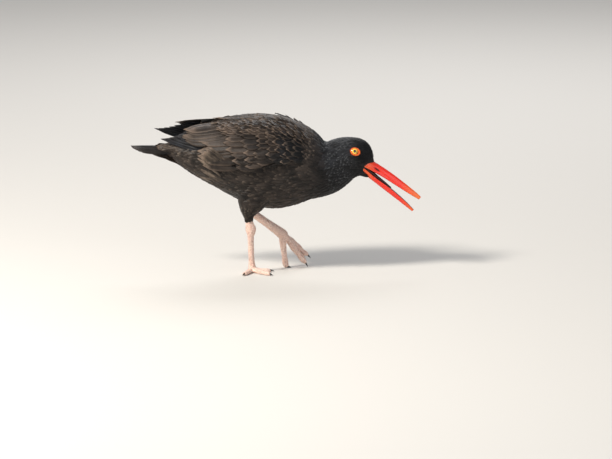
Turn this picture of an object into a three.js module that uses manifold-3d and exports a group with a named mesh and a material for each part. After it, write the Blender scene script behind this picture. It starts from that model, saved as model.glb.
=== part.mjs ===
// A black oystercatcher at life size, stepping forward with its bill open, as a still museum model.
// Millimetres. +X is the way the bird faces, +Y its left side, +Z up.
// The body is one lofted form parted by thin cuts.
// Wings and tail carry their feathers as overlapping vanes.
import * as THREE from "three";
import { mergeVertices } from "three/addons/utils/BufferGeometryUtils.js";
import Module from "manifold-3d";

const wasm = await Module();
wasm.setup();
const { Manifold } = wasm;

const GAP = 0.3; // between touching pieces
const BODY_SIDES = 24;
const RINGS_A_STATION = 2;
const LEFT = 1;
const RIGHT = -1;
const SIDES = [["right", RIGHT], ["left", LEFT]];
const BIG = 700; // a half space is a box of this side

// Body stations from the vent to the bill: back line [x, z], underside line [x, z], half width.
const BODY = [
  { back: [-152, 161], under: [-150, 155], half: 9 },
  { back: [-135, 165], under: [-134, 147], half: 14 },
  { back: [-118, 171], under: [-114, 130], half: 20 },
  { back: [-95, 181], under: [-95, 118], half: 28 },
  { back: [-75, 190], under: [-74, 106.5], half: 36 },
  { back: [-52, 197], under: [-50, 93], half: 41 },
  { back: [-28, 201], under: [-26, 83.5], half: 43.5 },
  { back: [-4, 200.8], under: [0, 80], half: 44.5 },
  { back: [20, 195], under: [24, 84.5], half: 43.5 },
  { back: [38, 187], under: [44, 91.5], half: 39.5 },
  { back: [52, 177], under: [60, 95], half: 34 },
  { back: [62, 166.5], under: [72, 98.5], half: 28.5 },
  { back: [71, 169.3], under: [82, 103.5], half: 24.5 },
  { back: [83, 172.4], under: [91, 110.5], half: 21 },
  { back: [96, 172.8], under: [98.5, 117.8], half: 18.6 },
  { back: [107, 171.2], under: [105, 121], half: 16 },
  { back: [115.5, 166.5], under: [110.5, 121.8], half: 12.6 },
  { back: [120.7, 159.3], under: [113.6, 122.3], half: 10 },
  { back: [123.6, 150.2], under: [115.6, 122.8], half: 8.2 },
  { back: [126, 140.5], under: [117.2, 123.6], half: 6.6 },
];
const WIDEST_AT = 0.47; // where a section is widest, from the back line down
const TAIL_CUT = 3; // body stations where one part ends and the next begins
const NECK_CUT = 11;
const HEAD_CUT = 13;

// Folded wing, from the bend of the wing back: upper edge [y, z], lower edge [y, z], bulge outwards.
const WING = [
  { x: 46, upper: [17, 178], lower: [37, 146], bulge: 3.6 },
  { x: 20, upper: [13, 193.5], lower: [47, 142], bulge: 11 },
  { x: -10, upper: [10, 201], lower: [50, 138], bulge: 14 },
  { x: -40, upper: [9, 200.5], lower: [47, 136], bulge: 15 },
  { x: -70, upper: [7, 196], lower: [39.5, 139], bulge: 13.5 },
  { x: -100, upper: [6, 190.5], lower: [27, 143], bulge: 9 },
  { x: -125, upper: [7, 184.5], lower: [19.5, 157], bulge: 4 },
  { x: -150, upper: [11, 179.5], lower: [15, 168], bulge: 1 },
];
const WING_BEND_X = 46;
const WING_CORE_LENGTH = 144; // the fleshy and covert-clad part; flight feathers go on past it
const WING_CORE_DEPTH = 13;
const FAR_WING_LIFT = 10; // the left wing tip is carried higher and further back
const FAR_WING_REACH = 9;
const FAR_WING_FROM = -60;

const TAIL_ROOT_X = -112;
const TAIL_LENGTH = 72;
const TAIL_Z = 159.2;
const TAIL_HALF_WIDTH = [11, 18]; // at the root and at the tip
const TAIL_DROOP = 3.2; // of its outer feathers
const RECTRICES = 12; // the outer ones are shorter and lie lower
const RECTRIX = { s: 6, width: 11, shorter: 14, lower: 3.6, root: 1.2, tip: 1.4 };
// Coverts over and under the tail's root: how far out of the tail's own surface they start and end.
const TAIL_COVERTS = [
  { s: -15, length: 42, count: 3, width: 13, root: 11, tip: 2.4, spread: 0.5 },
  { s: 9, length: 41, count: 3, width: 14, root: -19.5, tip: -4.6, spread: 0.55 },
];
const VANE_STEP = 0.95; // from one vane to the next that lies over it
const STAGGER = 0.03; // keeps the left and right vanes from meeting exactly on the middle plane

// Bill stations from the gape out: top edge [x, z], bottom edge [x, z], half width.
const UPPER_BILL = [
  { top: [114.3, 146], bottom: [108.6, 136.2], half: 9.4 },
  { top: [120, 143.2], bottom: [113, 134.6], half: 9.3 },
  { top: [126.2, 139.3], bottom: [117.6, 132.2], half: 8.2 },
  { top: [133.4, 134.7], bottom: [126, 127.3], half: 6.4 },
  { top: [144.8, 126.9], bottom: [138.4, 119.8], half: 4.9 },
  { top: [157.5, 117.3], bottom: [151.4, 111.2], half: 4.0 },
  { top: [170.2, 107.1], bottom: [165, 102.3], half: 3.4 },
  { top: [178.4, 100.2], bottom: [174.6, 96.2], half: 2.6 },
  { top: [184, 94.8], bottom: [181.6, 91.9], half: 1.5 },
];
const LOWER_BILL = [
  { top: [109.4, 134.2], bottom: [106.7, 126], half: 9.2 },
  { top: [113.6, 131.2], bottom: [110.8, 123.2], half: 8.8 },
  { top: [118.9, 126.6], bottom: [115.6, 120.9], half: 7.6 },
  { top: [127, 119.6], bottom: [124, 114.6], half: 6.0 },
  { top: [143.9, 107.0], bottom: [140.6, 101.6], half: 4.6 },
  { top: [156.8, 95.9], bottom: [154, 91.2], half: 3.8 },
  { top: [166.4, 87.1], bottom: [164, 83.3], half: 3.0 },
  { top: [174.6, 78.6], bottom: [172.8, 76.4], half: 1.4 },
];
const NOSTRIL = { at: [133, 129.8], length: 9, height: 1.3, depth: 1.4 };

const EYE = { x: 99.6, z: 156.2, radius: 6.4, sunk: 4.5 };
const LID_SIDES = 5;
const LID_STEPS = 18;
const EYELID = { ahead: 1.0, below: 0.5, long: 6.5, high: 5.2, thick: 1.15, tilt: -0.35 };

// Legs: points [x, y, z] with half sizes fore-and-aft and sideways.
const NEAR_THIGH = [
  { at: [-26, -20, 112], fore: 26, side: 17 },
  { at: [-31, -20, 92], fore: 19, side: 14 },
  { at: [-34, -19.5, 80], fore: 11, side: 9.5 },
  { at: [-34.5, -19, 71], fore: 5.4, side: 5.2 },
  { at: [-34.2, -18.4, 65], fore: 4.2, side: 4.1 },
];
const NEAR_KNEE = [-34.2, -18.5, 67];
const NEAR_LEG = [
  { at: [-34.4, -18.6, 69], fore: 3.9, side: 3.6 },
  { at: [-33.2, -18, 62.5], fore: 5.4, side: 4.5 },
  { at: [-32, -17.4, 57], fore: 6.7, side: 5.0 },
  { at: [-31.8, -16.9, 52], fore: 5.8, side: 4.6 },
  { at: [-32, -16, 46], fore: 4.1, side: 3.5 },
  { at: [-31.6, -13.6, 30], fore: 3.8, side: 3.3 },
  { at: [-30.9, -11.4, 14], fore: 3.8, side: 3.5 },
  { at: [-30.5, -10.4, 7], fore: 4.6, side: 4.4 },
];
const NEAR_FOOT_ROOT = [-30.5, -10.6, 8.6];
const FAR_THIGH = [
  { at: [-26, 20, 112], fore: 26, side: 17 },
  { at: [-33, 20, 95], fore: 18, side: 14 },
  { at: [-37, 19.8, 86], fore: 10, side: 9 },
  { at: [-38.2, 19.6, 80], fore: 5.4, side: 5.2 },
];
const FAR_KNEE = [-38, 19.6, 82];
const FAR_LEG = [
  { at: [-38.2, 19.6, 84], fore: 4.2, side: 4.0 },
  { at: [-37.9, 19.5, 78], fore: 5.8, side: 4.6 },
  { at: [-34.4, 19.6, 74.4], fore: 5.6, side: 4.5 },
  { at: [-29, 19.9, 70.4], fore: 4.4, side: 3.8 },
  { at: [-14, 20.8, 59.4], fore: 4.4, side: 3.6 },
  { at: [4, 21.8, 46.3], fore: 5.6, side: 4.6 },
];
const FAR_FOOT_ROOT = [1.5, 21.7, 48.1];
const HEEL = [-30.5, -10];
const NEAR_FOOT_TOP = [
  { at: [-30.5, -10, 10], fore: 4.7, side: 4.5 },
  { at: [-29.9, -10.8, 5], fore: 5.2, side: 5.2 },
  { at: [-29.7, -11, -1], fore: 5.0, side: 5.2 },
];
const TOE_HEIGHT = 1.8; // of a toe's middle over the floor, so that its sole is pressed flat
const TOE_FLATNESS = 0.86; // height of a toe over its width
const NEAR_TOES = {
  inner: { turn: -2, length: 24, half: 3.8, pads: 2 },
  middle: { turn: -48, length: 35, half: 4.2, pads: 3 },
  outer: { turn: -110, length: 29, half: 3.6, pads: 4 },
};
const FAR_KNUCKLE = [7.4, 21.9, 43.6];
const FAR_FOOT_TOP = [
  { at: [0.5, 21.6, 48.9], fore: 5.2, side: 4.4 },
  { at: FAR_KNUCKLE, fore: 6.2, side: 5.2 },
  { at: [11.5, 22.2, 40.2], fore: 4.8, side: 4.8 },
];
const FAR_TOES = {
  inner: { half: 3.9, pads: 2, path: [[8.4, 21.6, 34], [10.2, 21.7, 18], [12, 21.9, 5], [15.2, 21.9, 1.4]] },
  middle: { half: 4.2, pads: 3, path: [[14, 23, 37], [22.5, 24.8, 25], [31, 26.4, 13.5], [37.8, 27.6, 4.6]] },
  outer: { half: 3.6, pads: 4, path: [[14, 26, 38], [24, 30, 29.5], [33, 33, 19.5], [40.5, 35.2, 13.4]] },
};
const FAR_INNER_CLAW = [0.9, 0.02, -0.2]; // its toe bends at the floor, so this claw has its own direction
const CLAW = { half: 1.5, hook: 0.9, near: 6.2, far: 6.6, nearHeight: 2.5, nearSunk: 1.6, farSunk: 1.2 };
const WEB = { over: 0.7, under: 0.5, hollow: 0.8 };

const COLOURS = {
  head: [0x17181a, 0.75],
  body: [0x2b2522, 0.8],
  wing: [0x332a24, 0.8],
  bill: [0xe02412, 0.35],
  leg: [0xe8c3b2, 0.5],
  claw: [0x14110f, 0.4],
  eye: [0xe8b51c, 0.08],
  eyelid: [0xe2501a, 0.45],
};

const model = new THREE.Group();
const vector = (...p) => new THREE.Vector3(...p);
const UP = vector(0, 0, 1);
const degrees = THREE.MathUtils.degToRad;

// A closed solid from any closed geometry, facing out whatever way its points were moved.
function solid(geometry) {
  const bare = new THREE.BufferGeometry().setAttribute("position", geometry.attributes.position);
  bare.setIndex(geometry.index);
  const merged = mergeVertices(bare, 1e-3);
  const vertProperties = new Float32Array(merged.attributes.position.array);
  const triVerts = new Uint32Array(merged.index.array);
  const made = new Manifold(new wasm.Mesh({ numProp: 3, vertProperties, triVerts }));
  if (made.volume() > 0) return made;
  for (let i = 0; i < triVerts.length; i += 3) {
    [triVerts[i + 1], triVerts[i + 2]] = [triVerts[i + 2], triVerts[i + 1]];
  }
  return new Manifold(new wasm.Mesh({ numProp: 3, vertProperties, triVerts }));
}

function geometryOf(manifold) {
  const mesh = manifold.getMesh();
  const geometry = new THREE.BufferGeometry();
  geometry.setAttribute("position", new THREE.BufferAttribute(new Float32Array(mesh.vertProperties), 3));
  geometry.setIndex(new THREE.BufferAttribute(new Uint32Array(mesh.triVerts), 1));
  geometry.computeVertexNormals();
  return geometry;
}

// The largest closed surface of a solid, so that scraps and sealed hollows are dropped.
function largest(manifold) {
  const bodies = solid(geometryOf(manifold)).decompose();
  const best = bodies.reduce((a, b) => (b.volume() > a.volume() ? b : a));
  return bodies.length > 1 ? largest(best) : best;
}

function add(name, manifold, finish) {
  const [color, roughness] = COLOURS[finish];
  const material = new THREE.MeshStandardMaterial({ color, roughness, metalness: 0 });
  const mesh = new THREE.Mesh(geometryOf(largest(manifold)), material);
  mesh.name = name;
  model.add(mesh);
}

// Smooth values between stations, by station number.
function between(rows) {
  const times = rows.map((_, i) => i);
  const curve = new THREE.CubicInterpolant(times, rows.flat(), rows[0].length);
  const last = rows.length - 1;
  return (t) => Array.from(curve.evaluate(THREE.MathUtils.clamp(t, 0, last)));
}

// A cylinder reshaped: place(along 0..1, turn 0..2pi, reach 0 or 1) gives each point.
function reshapedCylinder(sides, rings, place) {
  const geometry = new THREE.CylinderGeometry(1, 1, 1, sides, rings);
  const position = geometry.attributes.position;
  for (let i = 0; i < position.count; i++) {
    const x = position.getX(i);
    const z = position.getZ(i);
    const p = place(0.5 - position.getY(i), Math.atan2(x, z), Math.hypot(x, z));
    position.setXYZ(i, p.x, p.y, p.z);
  }
  return solid(geometry);
}

// The whole body, swollen by grow millimetres where it is used to cut its neighbours.
const bodyAt = between(BODY.map((s) => [...s.back, ...s.under, s.half]));
function bodyPoint(station, turn, reach, grow) {
  const [bx, bz, ux, uz, half] = bodyAt(station);
  const length = Math.hypot(bx - ux, bz - uz);
  const up = [(bx - ux) / length, (bz - uz) / length];
  const rise = Math.cos(turn) > 0 ? WIDEST_AT * length : (1 - WIDEST_AT) * length;
  const height = (rise + grow) * Math.cos(turn) * reach;
  const cx = bx - up[0] * length * WIDEST_AT;
  const cz = bz - up[1] * length * WIDEST_AT;
  return vector(cx + up[0] * height, (half + grow) * Math.sin(turn) * reach, cz + up[1] * height);
}

function bodyForm(grow) {
  const last = BODY.length - 1;
  return reshapedCylinder(BODY_SIDES, last * RINGS_A_STATION, (t, turn, reach) =>
    bodyPoint(t * last, turn, reach, grow),
  );
}

// Everything beyond a point in one direction, as a box far larger than the bird.
function halfSpace(at, direction) {
  const way = direction.clone().normalize();
  const turn = new THREE.Quaternion().setFromUnitVectors(vector(1, 0, 0), way);
  const centre = at.clone().addScaledVector(way, BIG / 2);
  return solid(new THREE.BoxGeometry(BIG, BIG, BIG).applyQuaternion(turn).translate(...centre.toArray()));
}

// Two parts of one form on either side of a plane, half a gap clear of it.
function parted(form, at, direction) {
  const way = direction.clone().normalize();
  const front = form.subtract(halfSpace(at.clone().addScaledVector(way, GAP / 2), way.clone().negate()));
  const rear = form.subtract(halfSpace(at.clone().addScaledVector(way, -GAP / 2), way));
  return [front, rear];
}

// The section plane of a body station.
function sectionPlane(station) {
  const { back, under } = BODY[station];
  return [vector(under[0], 0, under[1]), vector(back[1] - under[1], 0, under[0] - back[0])];
}

// A limb: an oval tube through stations of {at, fore, side}, its side axis near +Y.
function limb(stations, grow = 0, sides = 12, ringsEach = 3) {
  const at = between(stations.map((s) => [...s.at, s.fore, s.side]));
  const last = stations.length - 1;
  return reshapedCylinder(sides, last * ringsEach, (t, turn, reach) => {
    const k = t * last;
    const [x, y, z, fore, side] = at(k);
    const ahead = vector(...at(Math.min(k + 0.2, last)).slice(0, 3));
    const tangent = ahead.sub(vector(...at(Math.max(k - 0.2, 0)).slice(0, 3))).normalize();
    const foreAxis = vector(0, 1, 0).cross(tangent).normalize();
    const sideAxis = tangent.clone().cross(foreAxis);
    return vector(x, y, z)
      .addScaledVector(foreAxis, (fore + grow) * Math.cos(turn) * reach)
      .addScaledVector(sideAxis, (side + grow) * Math.sin(turn) * reach);
  });
}

// A thin closed sheet: point(i, j, face) for rows i and columns j, split alike on both faces.
function sheet(rows, columns, point) {
  const points = [];
  const index = [];
  const id = (i, j, face) => (i * (columns + 1) + j) * 2 + face;
  for (let i = 0; i <= rows; i++) {
    for (let j = 0; j <= columns; j++) points.push(...point(i, j, 1).toArray(), ...point(i, j, 0).toArray());
  }
  const quad = (a, b, c, d) => index.push(a, b, c, a, c, d);
  for (let i = 0; i < rows; i++) {
    for (let j = 0; j < columns; j++) {
      quad(id(i, j, 0), id(i + 1, j, 0), id(i + 1, j + 1, 0), id(i, j + 1, 0));
      index.push(id(i, j, 1), id(i + 1, j + 1, 1), id(i + 1, j, 1));
      index.push(id(i, j, 1), id(i, j + 1, 1), id(i + 1, j + 1, 1));
    }
    quad(id(i, 0, 0), id(i, 0, 1), id(i + 1, 0, 1), id(i + 1, 0, 0));
    quad(id(i + 1, columns, 0), id(i + 1, columns, 1), id(i, columns, 1), id(i, columns, 0));
  }
  for (let j = 0; j < columns; j++) {
    quad(id(0, j + 1, 0), id(0, j + 1, 1), id(0, j, 1), id(0, j, 0));
    quad(id(rows, j, 0), id(rows, j, 1), id(rows, j + 1, 1), id(rows, j + 1, 0));
  }
  const geometry = new THREE.BufferGeometry();
  geometry.setAttribute("position", new THREE.BufferAttribute(new Float32Array(points), 3));
  geometry.setIndex(index);
  return solid(geometry);
}

// One feather vane on a surface(s, v) of {point, normal, mmPerV}: from s to s + length at height v,
// sunk at its root, lifted at its tip, tilted so that neighbours overlap like tiles.
function vane(surface, f) {
  const rows = f.rows ?? 4;
  const thick = f.thick ?? 0.6;
  return sheet(rows, 2, (i, j, face) => {
    const t = i / rows;
    const across = j - 1;
    const s = f.s + f.length * t;
    const v = f.v + (f.vEnd - f.v) * t;
    const taper = Math.sqrt(Math.max(0, 1 - Math.max(0, (t - 0.45) / 0.62) ** 2.2));
    const halfWidth = (f.width / 2) * (0.55 + 0.45 * Math.min(1, t * 2.5)) * taper;
    const rounded = Math.abs(across) * f.width * 0.12 * t;
    const at = surface(s - rounded, v + (across * halfWidth) / surface(s, v).mmPerV);
    const arch = (f.camber ?? 0.35) * (1 - across * across);
    const lift = THREE.MathUtils.lerp(f.root, f.tip, t) + (f.tilt ?? 0) * across + arch;
    return at.point.addScaledVector(at.normal, lift + (face ? thick / 2 : -thick / 2));
  });
}

// The wing's outer surface: s is millimetres back from the bend, v goes from its upper edge 0 to its lower 1.
const wingAt = (() => {
  const rows = WING.map((w) => [...w.upper, ...w.lower, w.bulge]);
  const curve = new THREE.CubicInterpolant(WING.map((w) => WING_BEND_X - w.x), rows.flat(), 5);
  return (s) => Array.from(curve.evaluate(Math.max(0, s)));
})();
function wingSurface(side) {
  const point = (s, v) => {
    const [uy, uz, ly, lz, bulge] = wingAt(s);
    const out = vector(0, uz - lz, ly - uy).normalize();
    const p = vector(WING_BEND_X - s, uy + (ly - uy) * v, uz + (lz - uz) * v);
    p.addScaledVector(out, bulge * 4 * v * (1 - v));
    if (side === LEFT) {
      const past = Math.max(0, FAR_WING_FROM - p.x) / (WING_CORE_LENGTH - 54);
      p.z += FAR_WING_LIFT * past;
      p.x -= FAR_WING_REACH * past;
    }
    p.y *= side;
    return p;
  };
  return (s, v) => {
    const along = point(s + 1, v).sub(point(s - 1, v));
    const down = point(s, v + 0.02).sub(point(s, v - 0.02));
    const normal = along.clone().cross(down).normalize();
    if (normal.y * side < 0) normal.negate();
    return { point: point(s, v), normal, mmPerV: down.length() / 0.04 };
  };
}

// Feather tiers of a folded wing. Lower feathers of a tier grow further forward by its slant.
const TIERS = [
  { s: 14, slant: 16, length: 36, count: 5, v: [0.12, 0.86], width: 18, root: -2.4, tip: 2.3 },
  { s: 38, slant: 20, length: 38, count: 6, v: [0.1, 0.9], width: 17, root: -2.4, tip: 2.4 },
  { s: 62, slant: 22, length: 44, count: 6, v: [0.1, 0.9], width: 16, root: -2.4, tip: 2.7 },
];
const SECONDARIES = { s: 92, slant: 0, length: 48, count: 3, v: [0.62, 0.92], width: 14, root: -2.4, tip: 1.6 };
const TERTIALS = { s: 96, slant: 0, length: 62, count: 3, v: [0.12, 0.46], width: 15, root: -2, tip: 4.6 };
// Primaries, from the uppermost to the outermost and longest, which lies lowest in the stack.
const PRIMARIES = {
  s: 118,
  count: 5,
  v: [0.24, 0.78],
  vEnd: [0.2, 0.62],
  lengths: [44, 76],
  width: [13, 10],
  root: [-1.6, -4.75],
  tip: [1.6, -2.6],
};
const VANE_DROP = 0.03; // down the wing from a vane's root to its tip
const VANE_TILT = 1; // each feather's lower edge lies out over the next one

function evenly(count, [low, high], make) {
  return Array.from({ length: count }, (_, k) => {
    const share = count > 1 ? k / (count - 1) : 0.5;
    return make(THREE.MathUtils.lerp(low, high, share), share, k);
  });
}

function wingFeathers(surface) {
  const vanes = [];
  for (const tier of [...TIERS, SECONDARIES, TERTIALS]) {
    evenly(tier.count, tier.v, (v) => {
      const s = tier.s - tier.slant * (v - 0.5);
      const rows = tier.length > 40 ? 5 : 4;
      vanes.push(vane(surface, { ...tier, s, v, vEnd: v + VANE_DROP, tilt: VANE_TILT, rows }));
    });
  }
  const { s, count, ...ranges } = PRIMARIES;
  evenly(count, [0, 1], (share) => {
    const { lengths, ...at } = Object.fromEntries(
      Object.entries(ranges).map(([key, range]) => [key, THREE.MathUtils.lerp(...range, share)]),
    );
    vanes.push(vane(surface, { s, length: lengths, ...at, rows: 5 }));
  });
  return vanes;
}

function wingCore(surface) {
  const rows = 22;
  const columns = 7;
  return sheet(rows, columns, (i, j, face) => {
    const t = i / rows;
    const v = j / columns;
    const at = surface(2 + (WING_CORE_LENGTH - 2) * t, v);
    const edge = 0.25 + 0.75 * Math.min(1, 4 * v, 5 * (1.12 - v));
    const thin = THREE.MathUtils.lerp(WING_CORE_DEPTH, 4, THREE.MathUtils.smoothstep(t, 0.55, 0.95));
    return at.point.addScaledVector(at.normal, face ? 0 : -thin * edge);
  });
}

// Tail surface: s millimetres back from the root, v across from right -1 to left 1.
function tailSurface(s, v) {
  const point = (a, b) => {
    const half = THREE.MathUtils.lerp(...TAIL_HALF_WIDTH, Math.min(1, a / TAIL_LENGTH));
    return vector(TAIL_ROOT_X - a, half * b, TAIL_Z - TAIL_DROOP * b * b);
  };
  const along = point(s + 1, v).sub(point(s - 1, v));
  const across = point(s, v + 0.02).sub(point(s, v - 0.02));
  const normal = across.clone().cross(along).normalize();
  if (normal.z < 0) normal.negate();
  return { point: point(s, v), normal, mmPerV: across.length() / 0.04 };
}

function tailFeathers() {
  const vanes = [];
  evenly(RECTRICES, [-1, 1], (v, share, k) => {
    const out = Math.abs(v);
    const layer = STAGGER * k;
    vanes.push(
      vane(tailSurface, {
        s: RECTRIX.s,
        length: TAIL_LENGTH - RECTRIX.s - RECTRIX.shorter * out * out,
        v: v * 0.8,
        vEnd: v * 0.86,
        width: RECTRIX.width,
        root: RECTRIX.root - RECTRIX.lower * out + layer,
        tip: RECTRIX.tip - RECTRIX.lower * out + layer,
        rows: 4,
        tilt: -0.5 * Math.sign(v),
        camber: 0,
      }),
    );
  });
  for (const tier of TAIL_COVERTS) {
    evenly(tier.count, [0.13 - tier.spread, tier.spread], (v, share, k) => {
      const layer = VANE_STEP * k;
      const feather = { ...tier, v, vEnd: v * 0.9, root: tier.root + layer, tip: tier.tip + layer };
      vanes.push(vane(tailSurface, { ...feather, rows: 4, camber: 0 }));
    });
  }
  return vanes;
}

// Bill halves: a rounded back over a nearly flat inner face. lower turns the section over.
function billHalf(stations, lower, grow) {
  const at = between(stations.map((s) => [...s.top, ...s.bottom, s.half]));
  const last = stations.length - 1;
  return reshapedCylinder(12, last * 2, (t, turn, reach) => {
    const [tx, tz, bx, bz, half] = at(t * last);
    const [ix, iz, ox, oz] = lower ? [tx, tz, bx, bz] : [bx, bz, tx, tz];
    const length = Math.hypot(ox - ix, oz - iz);
    const c = Math.cos(turn);
    const rise = c > 0 ? (length + grow) * c : (0.1 * length + grow) * c;
    const k = (rise * reach) / length;
    return vector(ix + (ox - ix) * k, (half + grow) * Math.sin(turn) * reach, iz + (oz - iz) * k);
  });
}

function ellipsoid(radii, centre, turnY = 0, turnZ = 0) {
  const ball = new THREE.SphereGeometry(1, 14, 8).scale(...radii);
  return solid(ball.rotateY(turnY).rotateZ(turnZ).translate(...centre));
}

function nostrils() {
  const half = 6.6;
  return [LEFT, RIGHT].map((side) => {
    const { at, length, height, depth } = NOSTRIL;
    return ellipsoid([length / 2, depth, height / 2], [at[0], side * half, at[1]], degrees(38), side * -0.14);
  });
}

// Where the head's skin is at the eye, found by a ray from the side.
function headSkinAt(x, z, side) {
  const mesh = new THREE.Mesh(geometryOf(bodyForm(0)));
  const ray = new THREE.Raycaster(vector(x, side * 100, z), vector(0, -side, 0));
  const hit = ray.intersectObject(mesh)[0];
  return { point: hit.point, normal: hit.face.normal };
}

function eyelid(centre, normal, grow) {
  const tube = EYELID.thick + grow;
  const ring = new THREE.TorusGeometry(1, 1, LID_SIDES, LID_STEPS);
  const position = ring.attributes.position;
  const forward = vector(1, 0, 0).addScaledVector(normal, -normal.x).normalize();
  const up = normal.clone().cross(forward);
  up.multiplyScalar(Math.sign(up.z));
  const cos = Math.cos(EYELID.tilt);
  const sin = Math.sin(EYELID.tilt);
  const axisA = forward.clone().multiplyScalar(cos).addScaledVector(up, sin);
  const axisB = up.clone().multiplyScalar(cos).addScaledVector(forward, -sin);
  let n = 0;
  for (let j = 0; j <= LID_SIDES; j++) {
    for (let i = 0; i <= LID_STEPS; i++, n++) {
      const u = (i / LID_STEPS) * Math.PI * 2;
      const w = (j / LID_SIDES) * Math.PI * 2;
      const out = Math.cos(w) * tube;
      const p = centre.clone()
        .addScaledVector(axisA, (EYELID.long - EYELID.thick + out) * Math.cos(u))
        .addScaledVector(axisB, (EYELID.high - EYELID.thick + out) * Math.sin(u))
        .addScaledVector(normal, Math.sin(w) * tube * 0.9);
      position.setXYZ(n, p.x, p.y, p.z);
    }
  }
  return solid(ring);
}

function floorCut() {
  return solid(new THREE.BoxGeometry(BIG, BIG, BIG).translate(0, 0, -BIG / 2));
}

// A toe along points, with swollen pads between its joints.
function toe(points, half, pads, sides = 8) {
  const at = between(points);
  const last = points.length - 1;
  return reshapedCylinder(sides, 8, (t, turn, reach) => {
    const [x, y, z] = at(t * last);
    const a = vector(...at(Math.min(t * last + 0.1, last)));
    const tangent = a.sub(vector(...at(Math.max(t * last - 0.1, 0)))).normalize();
    const sideAxis = vector(0, 0, 1).cross(tangent);
    if (sideAxis.length() < 0.3) sideAxis.set(0, 1, 0);
    sideAxis.normalize();
    const upAxis = tangent.clone().cross(sideAxis);
    const swell = 1 - 0.22 * t + 0.09 * Math.cos((t * pads + 0.5) * Math.PI * 2);
    const end = Math.sqrt(Math.max(0.12, 1 - Math.max(0, (t - 0.86) / 0.16) ** 2));
    return vector(x, y, z)
      .addScaledVector(sideAxis, half * swell * end * Math.sin(turn) * reach)
      .addScaledVector(upAxis, half * TOE_FLATNESS * swell * end * Math.cos(turn) * reach);
  });
}

// A claw: a short curved cone that leaves a toe's end.
function claw(from, way, length) {
  const tangent = way.clone().normalize();
  const side = vector(0, 0, 1).cross(tangent).normalize();
  const up = tangent.clone().cross(side);
  return reshapedCylinder(8, 4, (t, turn, reach) => {
    const radius = CLAW.half * (1 - 0.8 * t) * reach;
    return from.clone()
      .addScaledVector(tangent, length * t)
      .addScaledVector(up, radius * Math.cos(turn) - CLAW.hook * t * t)
      .addScaledVector(side, radius * 0.85 * Math.sin(turn));
  });
}

// Skin between two toes at their base, its free edge hollow.
function web(root, a, b) {
  return sheet(2, 2, (i, j, face) => {
    const edge = a.clone().lerp(b, j / 2);
    const p = root.clone().lerp(edge, i === 2 && j === 1 ? WEB.hollow : i / 2);
    p.z += face ? WEB.over : -WEB.under;
    return p;
  });
}

function nearFoot() {
  const pieces = [limb(NEAR_FOOT_TOP)];
  const claws = {};
  const wayOf = ({ turn }) => vector(Math.cos(degrees(turn)), Math.sin(degrees(turn)), 0);
  const along = (t, reach) => vector(...HEEL, TOE_HEIGHT).addScaledVector(wayOf(t), reach);
  for (const [name, t] of Object.entries(NEAR_TOES)) {
    const points = [0, 0.33, 0.66, 1].map((share) => along(t, t.length * share).toArray());
    points[0][2] = TOE_HEIGHT + 1.2;
    points[1][2] = TOE_HEIGHT + 0.4;
    pieces.push(toe(points, t.half, t.pads));
    const start = along(t, t.length - CLAW.nearSunk).setZ(CLAW.nearHeight);
    claws[name] = claw(start, wayOf(t).setZ(-0.08), CLAW.near);
  }
  const { inner, middle, outer } = NEAR_TOES;
  pieces.push(web(along(middle, 2), along(middle, 15), along(outer, 14)));
  pieces.push(web(along(middle, 2), along(middle, 9), along(inner, 8)));
  return { foot: Manifold.union(pieces).subtract(floorCut()), claws };
}

function farFoot() {
  const pieces = [limb(FAR_FOOT_TOP)];
  const claws = {};
  for (const [name, t] of Object.entries(FAR_TOES)) {
    pieces.push(toe([FAR_KNUCKLE, ...t.path], t.half, t.pads));
    const [before, end] = t.path.slice(-2).map((p) => vector(...p));
    const way = name === "inner" ? vector(...FAR_INNER_CLAW) : end.clone().sub(before);
    way.normalize();
    claws[name] = claw(end.clone().addScaledVector(way, -CLAW.farSunk), way, CLAW.far);
  }
  const [first, second] = [FAR_TOES.middle, FAR_TOES.outer].map((t) => vector(...t.path[1]));
  pieces.push(web(vector(...FAR_KNUCKLE), first, second));
  return { foot: Manifold.union(pieces).subtract(floorCut()), claws };
}

// Assembly, from the body out.
const whole = bodyForm(0);
const swollen = bodyForm(GAP + 0.06);
const [headForm, behindHead] = parted(whole, ...sectionPlane(HEAD_CUT));
const [neckForm, behindNeck] = parted(behindHead, ...sectionPlane(NECK_CUT));
const [torsoForm, tailForm] = parted(behindNeck, ...sectionPlane(TAIL_CUT));

const upperBill = billHalf(UPPER_BILL, false, 0);
const upperRoom = billHalf(UPPER_BILL, false, GAP);
const lowerBill = billHalf(LOWER_BILL, true, 0).subtract(upperRoom);
let head = headForm.subtract(upperRoom).subtract(billHalf(LOWER_BILL, true, GAP));
for (const [word, side] of SIDES) {
  const skin = headSkinAt(EYE.x, EYE.z, side);
  const lidSkin = headSkinAt(EYE.x + EYELID.ahead, EYE.z - EYELID.below, side);
  const eyeCentre = skin.point.clone().addScaledVector(skin.normal, -EYE.sunk).toArray();
  const ball = (radius) => ellipsoid([radius, radius, radius], eyeCentre);
  const lidRoom = eyelid(lidSkin.point, skin.normal, GAP);
  head = head.subtract(ball(EYE.radius + GAP)).subtract(lidRoom);
  add(`eye_${word}`, ball(EYE.radius).subtract(lidRoom), "eye");
  add(`eyelids_${word}`, eyelid(lidSkin.point, skin.normal, 0), "eyelid");
}
add("head", head, "head");
add("bill_upper", upperBill.subtract(Manifold.union(nostrils())), "bill");
add("bill_lower", lowerBill, "bill");
add("neck", neckForm, "head");
add("torso", torsoForm, "body");
const tailPlane = sectionPlane(TAIL_CUT);
add("tail", parted(Manifold.union([tailForm, ...tailFeathers()]), ...tailPlane)[1], "wing");

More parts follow.
